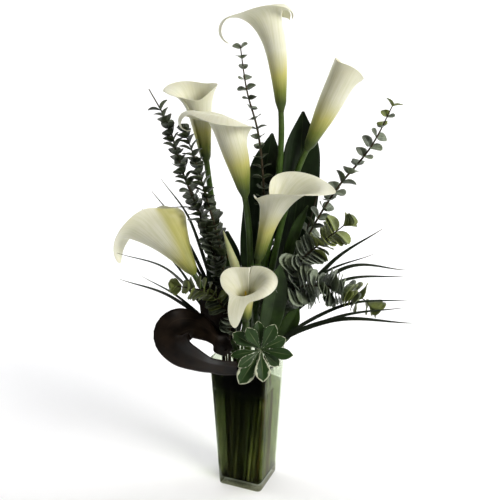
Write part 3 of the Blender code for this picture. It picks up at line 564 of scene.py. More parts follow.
def wire(tree, kind, inputs=None, **settings):
    """A new node, with its settings, and its inputs set from values or linked from sockets."""
    node = tree.nodes.new(kind)
    for key, value in settings.items():
        setattr(node, key, value)
    for key, value in (inputs or {}).items():
        if isinstance(value, bpy.types.NodeSocket):
            tree.links.new(value, node.inputs[key])
        else:
            node.inputs[key].default_value = value
    return node


def field(tree, name, kind):
    """The value of a named attribute, as a socket."""
    node = wire(tree, "GeometryNodeInputNamedAttribute", {"Name": name}, data_type=kind)
    return next(socket for socket in node.outputs if socket.name == "Attribute" and socket.enabled)


def chosen(tree, kind):
    """Whether a point is of the given kind, as a socket."""
    node = wire(tree, "FunctionNodeCompare",
                {0: field(tree, "kind", "FLOAT"), 1: float(kind), "Epsilon": 0.1},
                data_type="FLOAT", operation="EQUAL")
    return node.outputs["Result"]


def growing_tree():
    """Sweeps tubes and blades along lines, sets a leaf on each leaf point and keeps the sheets."""
    tree = bpy.data.node_groups.new("Grow Plant", "GeometryNodeTree")
    face = tree.interface
    face.new_socket("Geometry", in_out="INPUT", socket_type="NodeSocketGeometry")
    face.new_socket("Stalk Sides", in_out="INPUT", socket_type="NodeSocketInt").default_value = 16
    face.new_socket("Leaf", in_out="INPUT", socket_type="NodeSocketObject")
    face.new_socket("Blade Section", in_out="INPUT", socket_type="NodeSocketObject")
    face.new_socket("Finish", in_out="INPUT", socket_type="NodeSocketMaterial")
    face.new_socket("Geometry", in_out="OUTPUT", socket_type="NodeSocketGeometry")
    given = wire(tree, "NodeGroupInput").outputs

    ring = wire(tree, "GeometryNodeCurvePrimitiveCircle", {"Resolution": given["Stalk Sides"], "Radius": 1.0})
    spot = wire(tree, "GeometryNodeInputPosition")
    ring = wire(tree, "GeometryNodeStoreNamedAttribute",
                {"Geometry": ring.outputs["Curve"], "Name": "section", "Value": spot.outputs[0]},
                data_type="FLOAT_VECTOR", domain="POINT")
    section = wire(tree, "GeometryNodeObjectInfo", {"Object": given["Blade Section"]})
    section = wire(tree, "GeometryNodeMeshToCurve", {"Mesh": section.outputs["Geometry"]})
    half = wire(tree, "ShaderNodeSeparateXYZ", {0: field(tree, "size", "FLOAT_VECTOR")}).outputs["X"]

    parts = []
    for kind, profile in ((TUBE, ring.outputs["Geometry"]), (BLADE, section.outputs["Curve"])):
        line = wire(tree, "GeometryNodeMeshToCurve",
                    {"Mesh": given["Geometry"], "Selection": chosen(tree, kind)}).outputs["Curve"]
        if kind == BLADE:
            line = wire(tree, "GeometryNodeSetCurveNormal", {"Curve": line}, mode="FREE")
            tree.links.new(field(tree, "facing", "FLOAT_VECTOR"), line.inputs["Normal"])
            line = line.outputs["Curve"]
        swept = wire(tree, "GeometryNodeCurveToMesh",
                     {"Curve": line, "Profile Curve": profile, "Scale": half, "Fill Caps": True})
        parts.append(swept.outputs["Mesh"])

    points = wire(tree, "GeometryNodeSeparateGeometry",
                  {"Geometry": given["Geometry"], "Selection": chosen(tree, LEAF)}, domain="POINT")
    leaf = wire(tree, "GeometryNodeObjectInfo", {"Object": given["Leaf"], "As Instance": True})
    leaves = wire(tree, "GeometryNodeInstanceOnPoints",
                  {"Points": points.outputs["Selection"], "Instance": leaf.outputs["Geometry"],
                   "Rotation": field(tree, "turn", "QUATERNION"),
                   "Scale": field(tree, "size", "FLOAT_VECTOR")})
    parts.append(wire(tree, "GeometryNodeRealizeInstances",
                      {"Geometry": leaves.outputs["Instances"]}).outputs["Geometry"])
    sheets = wire(tree, "GeometryNodeSeparateGeometry",
                  {"Geometry": given["Geometry"], "Selection": chosen(tree, SHEET)}, domain="POINT")
    parts.append(sheets.outputs["Selection"])

    join = wire(tree, "GeometryNodeJoinGeometry")
    for part in parts:
        tree.links.new(part, join.inputs["Geometry"])
    smooth = wire(tree, "GeometryNodeSetShadeSmooth", {"Geometry": join.outputs["Geometry"]})
    whole = wire(tree, "GeometryNodeRealizeInstances", {"Geometry": smooth.outputs["Geometry"]})
    coated = wire(tree, "GeometryNodeSetMaterial",
                  {"Geometry": whole.outputs["Geometry"], "Material": given["Finish"]})
    wire(tree, "NodeGroupOutput", {"Geometry": coated.outputs["Geometry"]})
    return tree


def kept(name, make, *given):
    """A node group, material or shape of that name, made once."""
    for store in (bpy.data.node_groups, bpy.data.materials, bpy.data.objects):
        if name in store:
            return store[name]
    return make(*given)


def grown(name, growth, finish, sides=16):
    """A plain mesh object of what the tree makes of a growth."""
    tree = kept("Grow Plant", growing_tree)
    leaf = kept("leaf_form", leaf_form)
    section = kept("blade_form", blade_form)
    item = placed(name + "_lines", growth.mesh(name + "_lines"))
    grow = item.modifiers.new("grow", "NODES")
    grow.node_group = tree
    values = {"Stalk Sides": sides, "Leaf": leaf, "Blade Section": section, "Finish": finish}
    for socket in tree.interface.items_tree:
        if socket.name in values:
            grow[socket.identifier] = values[socket.name]
    bpy.context.view_layer.update()
    mesh = bpy.data.meshes.new_from_object(item.evaluated_get(bpy.context.evaluated_depsgraph_get()))
    item.modifiers.remove(grow)
    bpy.data.objects.remove(item)
    for spent in ("size", "facing", "turn"):
        if spent in mesh.attributes:
            mesh.attributes.remove(mesh.attributes[spent])
    mesh.name = name
    return placed(name, mesh)


def leaf_form():
    """A round leaf of unit length and width, cupped, with a short stalk and a small point."""
    growth = Growth()
    rows, columns = 8, 7
    grid = np.zeros((rows, columns, 3))
    for row in range(rows):
        part = row / (rows - 1)
        reach = 0.5 - 0.5 * math.cos(math.pi * part)
        half = max(0.5 * math.sin(math.pi * part) ** 0.85, 0.025)
        for column in range(columns):
            across = 2 * column / (columns - 1) - 1
            rise = 0.07 * math.sin(math.pi * reach) + 0.16 * (across * half) ** 2 * 4 - 0.02 * (across == 0)
            grid[row, column] = (across * half, 0.03 + 0.97 * reach, rise * 0.8)
    growth.sheet(grid, np.full((rows, columns), 0.012))
    mesh = growth.mesh("leaf_form")
    for spare in ("kind", "tone", "size", "facing", "turn"):
        mesh.attributes.remove(mesh.attributes[spare])
    return placed("leaf_form", mesh)


def blade_form():
    """The closed section of a grass blade, folded along its middle."""
    across = np.linspace(-1, 1, 7)
    upper = [(x, 0.22 * abs(x) + 0.05 * (1 - x * x)) for x in across]
    lower = [(x, 0.22 * abs(x) - 0.05 * (1 - x * x)) for x in across[-2:0:-1]]
    points = [(y, x, 0) for x, y in upper + lower]
    mesh = bpy.data.meshes.new("blade_form")
    mesh.from_pydata(points, [(i, (i + 1) % len(points)) for i in range(len(points))], [])
    layer = mesh.attributes.new("section", "FLOAT_VECTOR", "POINT")
    for index, (x, _) in enumerate(upper + lower):
        layer.data[index].vector = (x, 0, 1 if index < len(upper) else -1)
    return placed("blade_form", mesh)


# Finishes

def times(colour, by, more=0.0):
    """A colour made darker or paler by a factor, and then by an even amount."""
    return [part * by + more for part in colour]


class Finish:
    """A material on one Principled shader, with short calls for the nodes that feed it."""

    def __init__(self, name, **fixed):
        self.material = bpy.data.materials.new(name)
        self.material.use_nodes = True
        self.tree = self.material.node_tree
        self.shader = self.tree.nodes["Principled BSDF"]
        for key, value in fixed.items():
            self.shader.inputs[key.replace("_", " ")].default_value = value

    def add(self, kind, inputs=None, **settings):
        return wire(self.tree, "ShaderNode" + kind, inputs, **settings)

    def attribute(self, name, output="Fac"):
        return self.add("Attribute", attribute_name=name).outputs[output]

    def section(self, axis):
        return self.add("SeparateXYZ", {0: self.attribute("section", "Vector")}).outputs[axis]

    def place(self):
        return self.add("TexCoord").outputs["Object"]

    def vector(self, x, y, z):
        return self.add("CombineXYZ", {0: x, 1: y, 2: z}).outputs[0]

    def maths(self, operation, first, second=0.0, clamp=False):
        node = self.add("Math", {0: first, 1: second}, operation=operation, use_clamp=clamp)
        return node.outputs[0]

    def noise(self, vector, scale, detail=2.0):
        return self.add("TexNoise", {"Vector": vector, "Scale": scale, "Detail": detail}).outputs[0]

    def ramp(self, factor, *stops):
        """A colour, or a grey, that runs through stops of a place and a value."""
        node = self.add("ValToRGB", {0: factor})
        band = node.color_ramp
        while len(band.elements) < len(stops):
            band.elements.new(1.0)
        for element, (place, value) in zip(band.elements, stops):
            element.position = place
            element.color = (value, value, value, 1) if isinstance(value, float) else (*value, 1)
        return node.outputs[0]

    def mix(self, factor, first, second, blend="MIX"):
        node = self.add("Mix", {0: factor}, data_type="RGBA", blend_type=blend)
        for index, value in ((6, first), (7, second)):
            if isinstance(value, bpy.types.NodeSocket):
                self.tree.links.new(value, node.inputs[index])
            else:
                node.inputs[index].default_value = (*value, 1)
        return node.outputs[2]

    def tinted(self, first, second):
        """One colour times another."""
        return self.mix(1.0, first, second, "MULTIPLY")

    def streaks(self, across, along, detail=2.0):
        """Noise drawn out along a piece, so many times across it and so many times along it."""
        x = self.maths("MULTIPLY", self.section(0), across)
        y = self.maths("MULTIPLY", self.section(1), across)
        z = self.maths("MULTIPLY", self.attribute("along"), along)
        return self.noise(self.vector(x, y, z), 1.0, detail)

    def steeped(self, body, pale=(0.34, 0.36, 0.17), deep=(0.09, 0.11, 0.035)):
        """The body, gone pale and streaky where it stands in the water, from just over its surface down."""
        spot = self.place()
        upright = self.add("VectorMath", {0: spot, 1: (1.0, 1.0, 0.12)}, operation="MULTIPLY").outputs[0]
        wet = self.mix(self.ramp(self.noise(upright, 110.0, 2.0), (0.38, 0.0), (0.6, 1.0)), deep, pale)
        above = self.ramp(self.add("SeparateXYZ", {0: spot}).outputs[2], (0.150, 0.0), (0.200, 1.0))
        return self.mix(above, wet, body)

    def done(self, colour=None, roughness=None, height=None, depth=0.0002, strength=0.6):
        """The material, once its colour, its roughness and its bumps are linked."""
        for socket, value in (("Base Color", colour), ("Roughness", roughness)):
            if value is not None:
                self.tree.links.new(value, self.shader.inputs[socket])
        if height is not None:
            bump = self.add("Bump", {"Height": height, "Distance": depth, "Strength": strength})
            self.tree.links.new(bump.outputs[0], self.shader.inputs["Normal"])
        return self.material


def clear_finish(name, tint, ior):
    """Clear glass or water, which lets the lamps' light through to what stands in it."""
    finish = Finish(name, Transmission_Weight=1.0, IOR=ior, Roughness=0.0, Base_Color=(*tint, 1),
                    Specular_Tint=(*MIRRORED, 1))
    tree = finish.tree
    output = next(node for node in tree.nodes if node.type == "OUTPUT_MATERIAL")
    lit = finish.add("LightPath").outputs["Is Shadow Ray"]
    see_through = finish.add("BsdfTransparent", {"Color": (*times(tint, 0.2, 0.8), 1)})
    both = finish.add("MixShader", {0: lit, 1: finish.shader.outputs[0], 2: see_through.outputs[0]})
    tree.links.new(both.outputs[0], output.inputs["Surface"])
    return finish


def left_face_shade_mask(finish, vase, spot):
    """From 0 inside the vase to 1 at its face that looks to the left front, where the painted shade goes."""
    angle = VASE_TURN - math.pi / 2
    slope = (vase.mouth_side - vase.foot_side) / 2 / vase.height
    out = (math.cos(angle), math.sin(angle), -slope)
    reach = finish.add("VectorMath", {0: spot, 1: out}, operation="DOT_PRODUCT").outputs["Value"]
    past = finish.maths("SUBTRACT", reach, vase.foot_side / 2 - LEFT_DEPTH)
    return finish.maths("DIVIDE", past, LEFT_BLEND, clamp=True)


def glass_finish(settings):
    """Clear glass, olive in its base, with painted shade above the water on the left that stands for the dark
    leaves crowded behind it.
    """
    finish = clear_finish("vase_glass", settings.glass, GLASS_BEND)
    spot = finish.place()
    height = finish.maths("DIVIDE", finish.add("SeparateXYZ", {0: spot}).outputs[2], settings.height)
    high = finish.ramp(height, (0.69, 0.0), (0.78, 1.0))
    # Painted shade: the upper part of the left face takes a darkened shade tint.
    painted_left_shade = finish.maths("MULTIPLY", high, left_face_shade_mask(finish, settings, spot))
    clear = finish.ramp(height, (0.0, (0.05, 0.052, 0.025)), (0.05, (0.17, 0.18, 0.10)),
                        (0.08, settings.glass))
    body = finish.mix(painted_left_shade, clear, times(settings.shade, 0.6))
    wave = finish.noise(spot, 18.0, 1.0)
    return finish.done(body, height=wave, depth=0.0006, strength=0.25)


def water_finish(settings):
    """Yellow-green water in soft upright streaks, murky at the bottom, with painted shade that makes it near
    black by the left face and less dark low down.
    """
    finish = clear_finish("vase_water", settings.water, WATER_BEND)
    spot = finish.place()
    stretched = finish.add("VectorMath", {0: spot, 1: (1.0, 1.0, 0.09)}, operation="MULTIPLY").outputs[0]
    cloud = finish.ramp(finish.noise(stretched, 150.0, 3.0), (0.35, 0.5), (0.65, 1.0))
    height = finish.maths("DIVIDE", finish.add("SeparateXYZ", {0: spot}).outputs[2], settings.height)
    # Painted shade by the left face: paler low down and broken into upright bands.
    low = (0.27, 0.27, 0.13)
    shade = finish.ramp(height, (0.2, low), (0.55, times(settings.shade, 5.0)), (0.72, settings.shade))
    bands = finish.ramp(finish.noise(stretched, 85.0, 2.0), (0.4, 0.22), (0.62, 1.0))
    shade = finish.tinted(shade, bands)
    tint = finish.mix(left_face_shade_mask(finish, settings, spot), settings.water, shade)
    specks = finish.ramp(finish.noise(spot, 420.0, 3.0), (0.5, 0.0), (0.6, 0.8))
    silt = finish.ramp(height, (0.06, 1.0), (0.17, 0.0))
    tint = finish.mix(finish.maths("MULTIPLY", specks, silt), tint, (0.17, 0.125, 0.05))
    return finish.done(finish.tinted(tint, cloud))


def spathe_finish(settings):
    """Green foot, olive neck, yellow throat and cream rim; tone is the height over that of its colours."""
    finish = Finish("spathe_skin", Subsurface_Weight=0.18, Subsurface_Radius=(1.0, 0.85, 0.5),
                    Subsurface_Scale=0.002, Roughness=0.42, Specular_IOR_Level=0.3)
    along = finish.attribute("along")
    wander = finish.maths("MULTIPLY", finish.streaks(5.0, 2.0), 0.11)
    place = finish.maths("ADD", finish.attribute("tone"), finish.maths("SUBTRACT", wander, 0.055))
    body = finish.ramp(place, (0.0, settings.foot), (0.07, settings.foot), (0.16, settings.neck),
                       (0.28, settings.throat), (0.46, settings.cream), (1.0, settings.cream))
    veins = finish.streaks(46.0, 2.2, 3.0)
    lines = finish.ramp(veins, (0.38, (0.74, 0.76, 0.56)), (0.56, (1.0, 1.0, 1.0)))
    fade = finish.ramp(along, (0.0, 1.0), (0.4, 0.5), (1.0, 0.14))
    body = finish.mix(fade, body, finish.tinted(body, lines))
    cloud = finish.ramp(finish.noise(finish.place(), 55.0, 3.0), (0.3, (0.95, 0.95, 0.90)),
                        (0.7, (1.0, 1.0, 1.0)))
    body = finish.tinted(body, cloud)
    rough = finish.ramp(veins, (0.3, 0.36), (0.7, 0.5))
    return finish.done(body, rough, veins, depth=0.00035, strength=0.55)


def stem_finish(settings):
    """Green lily stems, paler at the foot, with darker ridges and fine spots."""
    finish = Finish("lily_stem_skin", Coat_Weight=0.05, Coat_Roughness=0.3, Specular_IOR_Level=0.3)
    along = finish.attribute("along")
    lines = finish.streaks(5.0, 14.0, 4.0)
    deep = times(settings.stem, 0.45)
    body = finish.ramp(along, (0.0, (0.22, 0.26, 0.12)), (0.03, settings.stem), (0.9, settings.stem),
                       (1.0, settings.foot))
    body = finish.mix(finish.ramp(lines, (0.32, 1.0), (0.62, 0.0)), body, deep)
    spots = finish.ramp(finish.noise(finish.place(), 240.0, 2.0), (0.3, 0.8), (0.7, 1.15))
    body = finish.tinted(body, spots)
    rough = finish.ramp(lines, (0.3, 0.3), (0.7, 0.48))
    return finish.done(finish.steeped(body), rough, lines, depth=0.0003, strength=0.5)


def spadix_finish(settings):
    """Yellow grains in a fine noise of darker yellow, painted shade that stands for the hollows between them.
    """
    finish = Finish("spadix_grain", Subsurface_Weight=0.1, Subsurface_Scale=0.001)
    grain = finish.noise(finish.place(), 900.0, 2.0)
    body = finish.mix(finish.ramp(grain, (0.35, 0.0), (0.65, 1.0)), times(settings.spadix, 0.72),
                      settings.spadix)
    return finish.done(body, finish.ramp(grain, (0.3, 0.5), (0.7, 0.8)), grain, depth=0.0002)


def eucalyptus_finish(name, foliage, leaf, bloom_and_light):
    """Waxy leaves on a twig, with a pale bloom rubbed off in patches. The dark underside is painted shade,
    and the bloom kept mostly to the upper side also stands for painted light on the lit tops.
    """
    finish = Finish(name, Specular_IOR_Level=0.22)
    spot = finish.place()
    tone = finish.attribute("tone")
    fresh = finish.maths("GREATER_THAN", tone, 1.5)
    tone = finish.maths("SUBTRACT", tone, finish.maths("MULTIPLY", fresh, YOUNG))
    rubbed = finish.noise(spot, 130.0, 3.0)
    bloom_and_light_cover = finish.maths("ADD", tone, finish.maths("SUBTRACT", rubbed, 0.5))
    # Painted light and shade: the bloom is kept mostly to each leaf's upper side, as if lit from above; the
    # underside keeps less than half of it.
    upper = finish.ramp(finish.section(2), (0.0, 0.45), (0.6, 1.0))
    bloom_and_light_cover = finish.maths("MULTIPLY", finish.maths("MAXIMUM", bloom_and_light_cover, 0.0), upper, clamp=True)
    olive = finish.ramp(finish.noise(spot, 48.0, 2.0), (0.45, 0.0), (0.6, 0.7))
    underside_and_shade = finish.mix(fresh, finish.mix(olive, leaf, (0.034, 0.046, 0.012)),
                       times(foliage.young, YOUNG_BELOW))
    over = finish.mix(fresh, finish.mix(olive, bloom_and_light, (0.26, 0.31, 0.20)), foliage.young)
    body = finish.mix(bloom_and_light_cover, underside_and_shade, over)
    rib = finish.maths("ABSOLUTE", finish.section(0))
    ribs = finish.maths("MULTIPLY", finish.ramp(rib, (0.0, 0.55), (0.10, 0.0)), upper)
    body = finish.mix(ribs, body, times(bloom_and_light, 1.05, 0.02))
    fine = finish.noise(spot, 520.0, 2.0)
    body = finish.tinted(body, finish.ramp(fine, (0.3, 0.82), (0.7, 1.1)))
    bark = finish.mix(finish.streaks(3.0, 60.0), times(foliage.twig, 0.5), foliage.twig)
    wood = finish.maths("LESS_THAN", finish.attribute("kind"), 0.5)
    body = finish.mix(wood, body, finish.steeped(bark, (0.24, 0.17, 0.06), (0.10, 0.065, 0.02)))
    height = finish.mix(0.5, fine, finish.ramp(rib, (0.0, 0.0), (0.16, 1.0)))
    return finish.done(body, finish.ramp(bloom_and_light_cover, (0.0, 0.42), (1.0, 0.72)), height, depth=0.0004, strength=0.5)


def grass_finish(settings):
    """Dark blades with paler lengthwise lines and dry tips."""
    finish = Finish("grass_blade", Specular_IOR_Level=0.25)
    lines = finish.streaks(7.0, 3.0, 3.0)
    pale = times(settings.grass, 2.6, 0.01)
    body = finish.mix(finish.ramp(lines, (0.42, 0.0), (0.72, 0.7)), settings.grass, pale)
    dry = finish.ramp(finish.attribute("along"), (0.88, 0.0), (1.0, 0.7))
    body = finish.mix(dry, body, (0.10, 0.085, 0.035))
    rough = finish.ramp(lines, (0.3, 0.34), (0.7, 0.55))
    return finish.done(finish.steeped(body), rough, lines, depth=0.0002, strength=0.6)


def broad_finish(settings):
    """Black-green blades with fine lengthwise veins and a paler middle rib; some are a fresher green."""
    finish = Finish("broad_leaf_blade", Specular_IOR_Level=0.22)
    across = finish.section(0)
    tone = finish.attribute("tone")
    lines = finish.streaks(9.0, 1.2, 3.0)
    fresh = finish.mix(tone, settings.broad, (0.040, 0.080, 0.014))
    thin = finish.ramp(lines, (0.60, 0.0), (0.72, 0.55))
    body = finish.mix(thin, fresh, settings.vein)
    rib = finish.ramp(finish.maths("ABSOLUTE", across), (0.0, 0.75), (0.045, 0.0))
    body = finish.mix(rib, body, times(settings.vein, 1.4))
    cloud = finish.ramp(finish.noise(finish.place(), 70.0, 3.0), (0.3, 0.7), (0.7, 1.2))
    body = finish.tinted(body, cloud)
    rough = finish.ramp(lines, (0.3, 0.28), (0.7, 0.5))
    return finish.done(finish.steeped(body), rough, lines, depth=0.0003, strength=0.6)


def dark_finish(settings):
    """Brown-black blades with browner clouds and a few fine lines."""
    finish = Finish("dark_leaf_blade", Specular_IOR_Level=0.1)
    lines = finish.streaks(8.0, 1.5, 3.0)
    cloud = finish.noise(finish.place(), 45.0, 3.0)
    body = finish.mix(finish.ramp(cloud, (0.4, 0.0), (0.7, 1.0)), settings.dark, (0.016, 0.010, 0.006))
    body = finish.mix(finish.ramp(lines, (0.62, 0.0), (0.75, 0.4)), body, (0.040, 0.027, 0.016))
    rough = finish.ramp(cloud, (0.3, 0.32), (0.7, 0.55))
    return finish.done(finish.steeped(body), rough, lines, depth=0.0003, strength=0.5)


def rosette_finish(settings):
    """Dark green leaves with a ragged white margin and a pale middle rib; tone is the margin's width."""
    finish = Finish("rosette_leaf", Specular_IOR_Level=0.22)
    edge = finish.maths("ABSOLUTE", finish.section(0))
    tone = finish.attribute("tone")
    ragged = finish.streaks(3.0, 9.0, 4.0)
    ragged = finish.maths("MULTIPLY", finish.maths("SUBTRACT", ragged, 0.5), 0.8)
    tip = finish.ramp(finish.attribute("along"), (0.90, 0.0), (0.99, 0.5))
    reach = finish.maths("ADD", finish.maths("ADD", edge, ragged), tip)
    past = finish.maths("SUBTRACT", reach, finish.maths("SUBTRACT", 1.0, tone))
    leaf = finish.maths("GREATER_THAN", finish.attribute("kind"), 0.5)
    margin = finish.maths("MULTIPLY", finish.ramp(past, (0.0, 0.0), (0.05, 1.0)), leaf)
    greens = finish.streaks(5.0, 4.0, 3.0)
    green = finish.mix(greens, settings.rosette, times(settings.rosette, 2.2))
    body = finish.mix(margin, green, settings.margin)
    rib = finish.ramp(edge, (0.0, 0.85), (0.09, 0.0))
    fade = finish.ramp(finish.attribute("along"), (0.5, 1.0), (0.95, 0.0))
    body = finish.mix(finish.maths("MULTIPLY", rib, fade), body, (0.16, 0.20, 0.09))
    side = finish.noise(finish.vector(finish.maths("MULTIPLY", edge, 5.0),
                                      finish.maths("MULTIPLY", finish.attribute("along"), 16.0), 0.0), 1.0)
    return finish.done(body, finish.ramp(greens, (0.3, 0.3), (0.7, 0.5)), side, depth=0.0005, strength=0.6)


def bud_finish(settings):
    """A cream bud, green at its foot, with green lines."""
    finish = Finish("pale_bud_skin", Subsurface_Weight=0.2, Subsurface_Scale=0.002, Roughness=0.45)
    lines = finish.streaks(3.5, 2.0, 3.0)
    body = finish.ramp(finish.attribute("along"), (0.0, (0.16, 0.24, 0.06)),
                       (0.22, times(settings.bud, 0.8)), (0.6, settings.bud),
                       (1.0, times(settings.bud, 0.75)))
    body = finish.mix(finish.ramp(lines, (0.4, 0.5), (0.6, 0.0)), body, (0.24, 0.30, 0.10))
    return finish.done(body, finish.ramp(lines, (0.3, 0.4), (0.7, 0.6)), lines, depth=0.0004)


def floor_finish(settings):
    """A plain pale floor, very faintly clouded."""
    finish = Finish("pale_floor", Roughness=0.75, Specular_IOR_Level=0.2)
    cloud = finish.noise(finish.place(), 3.0, 4.0)
    body = finish.mix(cloud, settings.floor, times(settings.floor, 0.97))
    return finish.done(body)


# Pieces

def settle(piece, node):
    """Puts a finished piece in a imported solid's place."""
    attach(piece, "root")
    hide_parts(node)


def square_ring(side, corner, height, steps):
    """The points of a level square with rounded corners, turned as the vase is."""
    corner = min(corner, side / 2 - 0.01 * MM)
    ring = []
    for quarter in range(4):
        for step in range(steps + 1):
            angle = TAU * (quarter + step / steps) / 4
            middle = Vector((side / 2 - corner, side / 2 - corner))
            middle.rotate(Matrix.Rotation(TAU * quarter / 4, 2))
            point = Vector((*middle, 0)) + Vector((math.cos(angle), math.sin(angle), 0)) * corner
            point.rotate(Matrix.Rotation(VASE_TURN, 3, "Z"))
            ring.append((point.x, point.y, height))
    return ring


def lofted(name, rings, finish):
    """A closed solid through level rings, from its lowest middle round to its last one."""
    count = len(rings[0])
    points = [point for ring in rings for point in ring]
    faces = []
    for index in range(len(rings) - 1):
        low = index * count
        for step in range(count):
            after = (step + 1) % count
            faces.append((low + step, low + after, low + count + after, low + count + step))
    faces.append(tuple(range(count))[::-1])
    faces.append(tuple(range((len(rings) - 1) * count, len(rings) * count)))
    mesh = bpy.data.meshes.new(name)
    mesh.from_pydata(points, [], faces)
    mesh.shade_smooth()
    mesh.set_sharp_from_angle(angle=math.radians(50))
    mesh.materials.append(finish)
    return placed(name, mesh)


def vase_side(vase, height):
    """The vase's outer width at a height."""
    return vase.foot_side + (vase.mouth_side - vase.foot_side) * height / vase.height


def make_vase(settings):
    """The glass, from its rounded foot up the outside, over the rim and down to the hollow's floor."""
    vase = settings.vase
    steps = 10
    rings = []
    for step in range(5):
        turn = math.pi / 2 * step / 4
        inset = FOOT_ROUND * (1 - math.sin(turn))
        height = FOOT_ROUND * (1 - math.cos(turn))
        rings.append((vase_side(vase, height) - 2 * inset, OUTER_CORNER - inset, height))
    rings += [(vase_side(vase, height), OUTER_CORNER, height)
              for height in (vase.height * 0.3, vase.height * 0.6, vase.height * 0.9)]
    for step in range(9):
        turn = math.pi * step / 8
        height = vase.height - RIM_ROUND * (1 - math.sin(turn))
        reach = (vase.wall - 2 * RIM_ROUND) * step / 8 + RIM_ROUND * (1 - math.cos(turn))
        rings.append((vase_side(vase, height) - 2 * reach,
                      OUTER_CORNER + (INNER_CORNER - OUTER_CORNER) * step / 8, height))
    rings += [(vase_side(vase, height) - 2 * vase.wall, INNER_CORNER, height)
              for height in (vase.height * 0.6, vase.height * 0.3, vase.base + HOLLOW_ROUND)]
    for step in range(1, 4):
        turn = math.pi / 2 * step / 3
        inset = HOLLOW_ROUND * (1 - math.cos(turn))
        rings.append((vase_side(vase, vase.base) - 2 * vase.wall - 2 * inset, INNER_CORNER - inset,
                      vase.base + HOLLOW_ROUND * (1 - math.sin(turn))))
    piece = lofted("glass_vase", [square_ring(*ring, steps) for ring in rings], glass_finish(vase))
    settle(piece, "vase")


def make_water(settings):
    """The water, a hair wider than the hollow so that no film of air shows between it and the glass."""
    vase = settings.vase
    over = 0.15 * MM
    low = vase.base - over
    rings = []
    for height, inset, corner in ((low, HOLLOW_ROUND, 3 * MM), (low + HOLLOW_ROUND, 0, INNER_CORNER),
                                  (vase.water_level - 8 * MM, 0, INNER_CORNER),
                                  (vase.water_level + 1.2 * MM, 0, INNER_CORNER),
                                  (vase.water_level + 0.3 * MM, 0.8 * MM, INNER_CORNER),
                                  (vase.water_level, 2.4 * MM, INNER_CORNER)):
        side = vase_side(vase, height) - 2 * vase.wall + 2 * over - 2 * inset
        rings.append(square_ring(side, corner, height, 6))
    piece = lofted("vase_water", rings, water_finish(vase))
    settle(piece, "water")


def round_mix(values, angle, sway=0):
    """A smooth value round the tube from those at the tip, at the sides and at the overlap."""
    tip, side, back = values
    mean = (tip + 2 * side + back) / 4
    even = mean + (tip - back) / 2 * np.cos(angle) + (tip - 2 * side + back) / 4 * np.cos(2 * angle)
    return even + sway * np.sin(angle)


def lily_frame(lily):
    """The spathe's foot, the way its tube points, the way its tip points, and the way across both."""
    axis = Vector(lily["axis"]).normalized()
    tip = Vector(lily["tip"])
    tip = (tip - axis * tip.dot(axis)).normalized()
    return mm(*lily["base"]), axis, tip, axis.cross(tip)


def eased(part):
    """From 0 to 1, slow at both ends."""
    part = np.clip(part, 0.0, 1.0)
    return part * part * (3 - 2 * part)


def spathe_grid(lily, sheet, rows, columns):
    """The spathe's middle surface, followed up from the foot, and how far up and round each point is."""
    base, axis, tip, side = (np.array(part) for part in lily_frame(lily))
    line = np.linspace(-1, 1, columns)
    across, along = np.meshgrid(np.sign(line) * (0.45 * np.abs(line) + 0.55 * np.abs(line) ** 2),
                                1 - (1 - np.linspace(0, 1, rows)) ** 1.25)
    opened = eased((along - WRAP_START) / (1 - WRAP_START))
    wrap = WRAP_FOOT + (math.radians(lily["wrap"]) - WRAP_FOOT) * opened
    angle = across * wrap + math.radians(lily.get("shift", 0))
    around = (angle + math.pi) % TAU - math.pi
    near_tip = np.exp(-(around / TAIL_SPREAD) ** 2)
    length = round_mix(lily["length"], angle, lily.get("skew", 0)) * MM
    tail = lily["tail"] * near_tip * MM
    lean_low = math.radians(lily.get("tube", TUBE_LEAN))
    outer = across * lily.get("hand", 1)
    peel = lily.get("peel", 0) * outer ** 3
    flare = np.radians(round_mix(lily["flare"], angle, lily.get("flare_sway", 0)) + peel) - lean_low
    roll = np.radians(round_mix(lily["roll"], angle, lily.get("roll_sway", 0)))
    roll_start = lily.get("roll_from", ROLL_START)
    belly = math.radians(lily.get("belly", 0))
    curl = math.radians(lily["curl"]) * near_tip
    radius = LILY_NECK + NECK_CLEARANCE + sheet / 2 + SPATHE_SPIRAL * (outer + 1) / 2
    snug = LILY_NECK - 0.8 * MM + 0.6 * MM * (outer + 1)
    inward = (radius - snug) * (1 - eased(along / FOOT_CLOSES))
    radial = tip * np.cos(angle)[..., None] + side * np.sin(angle)[..., None]
    point = base + radial * radius[..., None]
    stride = (length + tail) * along / MERIDIAN_STEPS
    for step in range(MERIDIAN_STEPS):
        gone = stride * (step + 0.5)
        part = np.minimum(1.0, gone / length)
        in_tail = np.maximum(0.0, gone - length) / np.maximum(tail, 0.01 * MM)
        rolled = eased((part - roll_start) / (1 - roll_start))
        lean = lean_low + flare * part ** lily["late"] + roll * rolled + curl * in_tail
        lean = lean + belly * np.sin(TAU * part)
        way = axis * np.cos(lean)[..., None] + radial * np.sin(lean)[..., None]
        point = point + way * stride[..., None]
    return point - radial * inward[..., None], along, across, (length + tail) * along


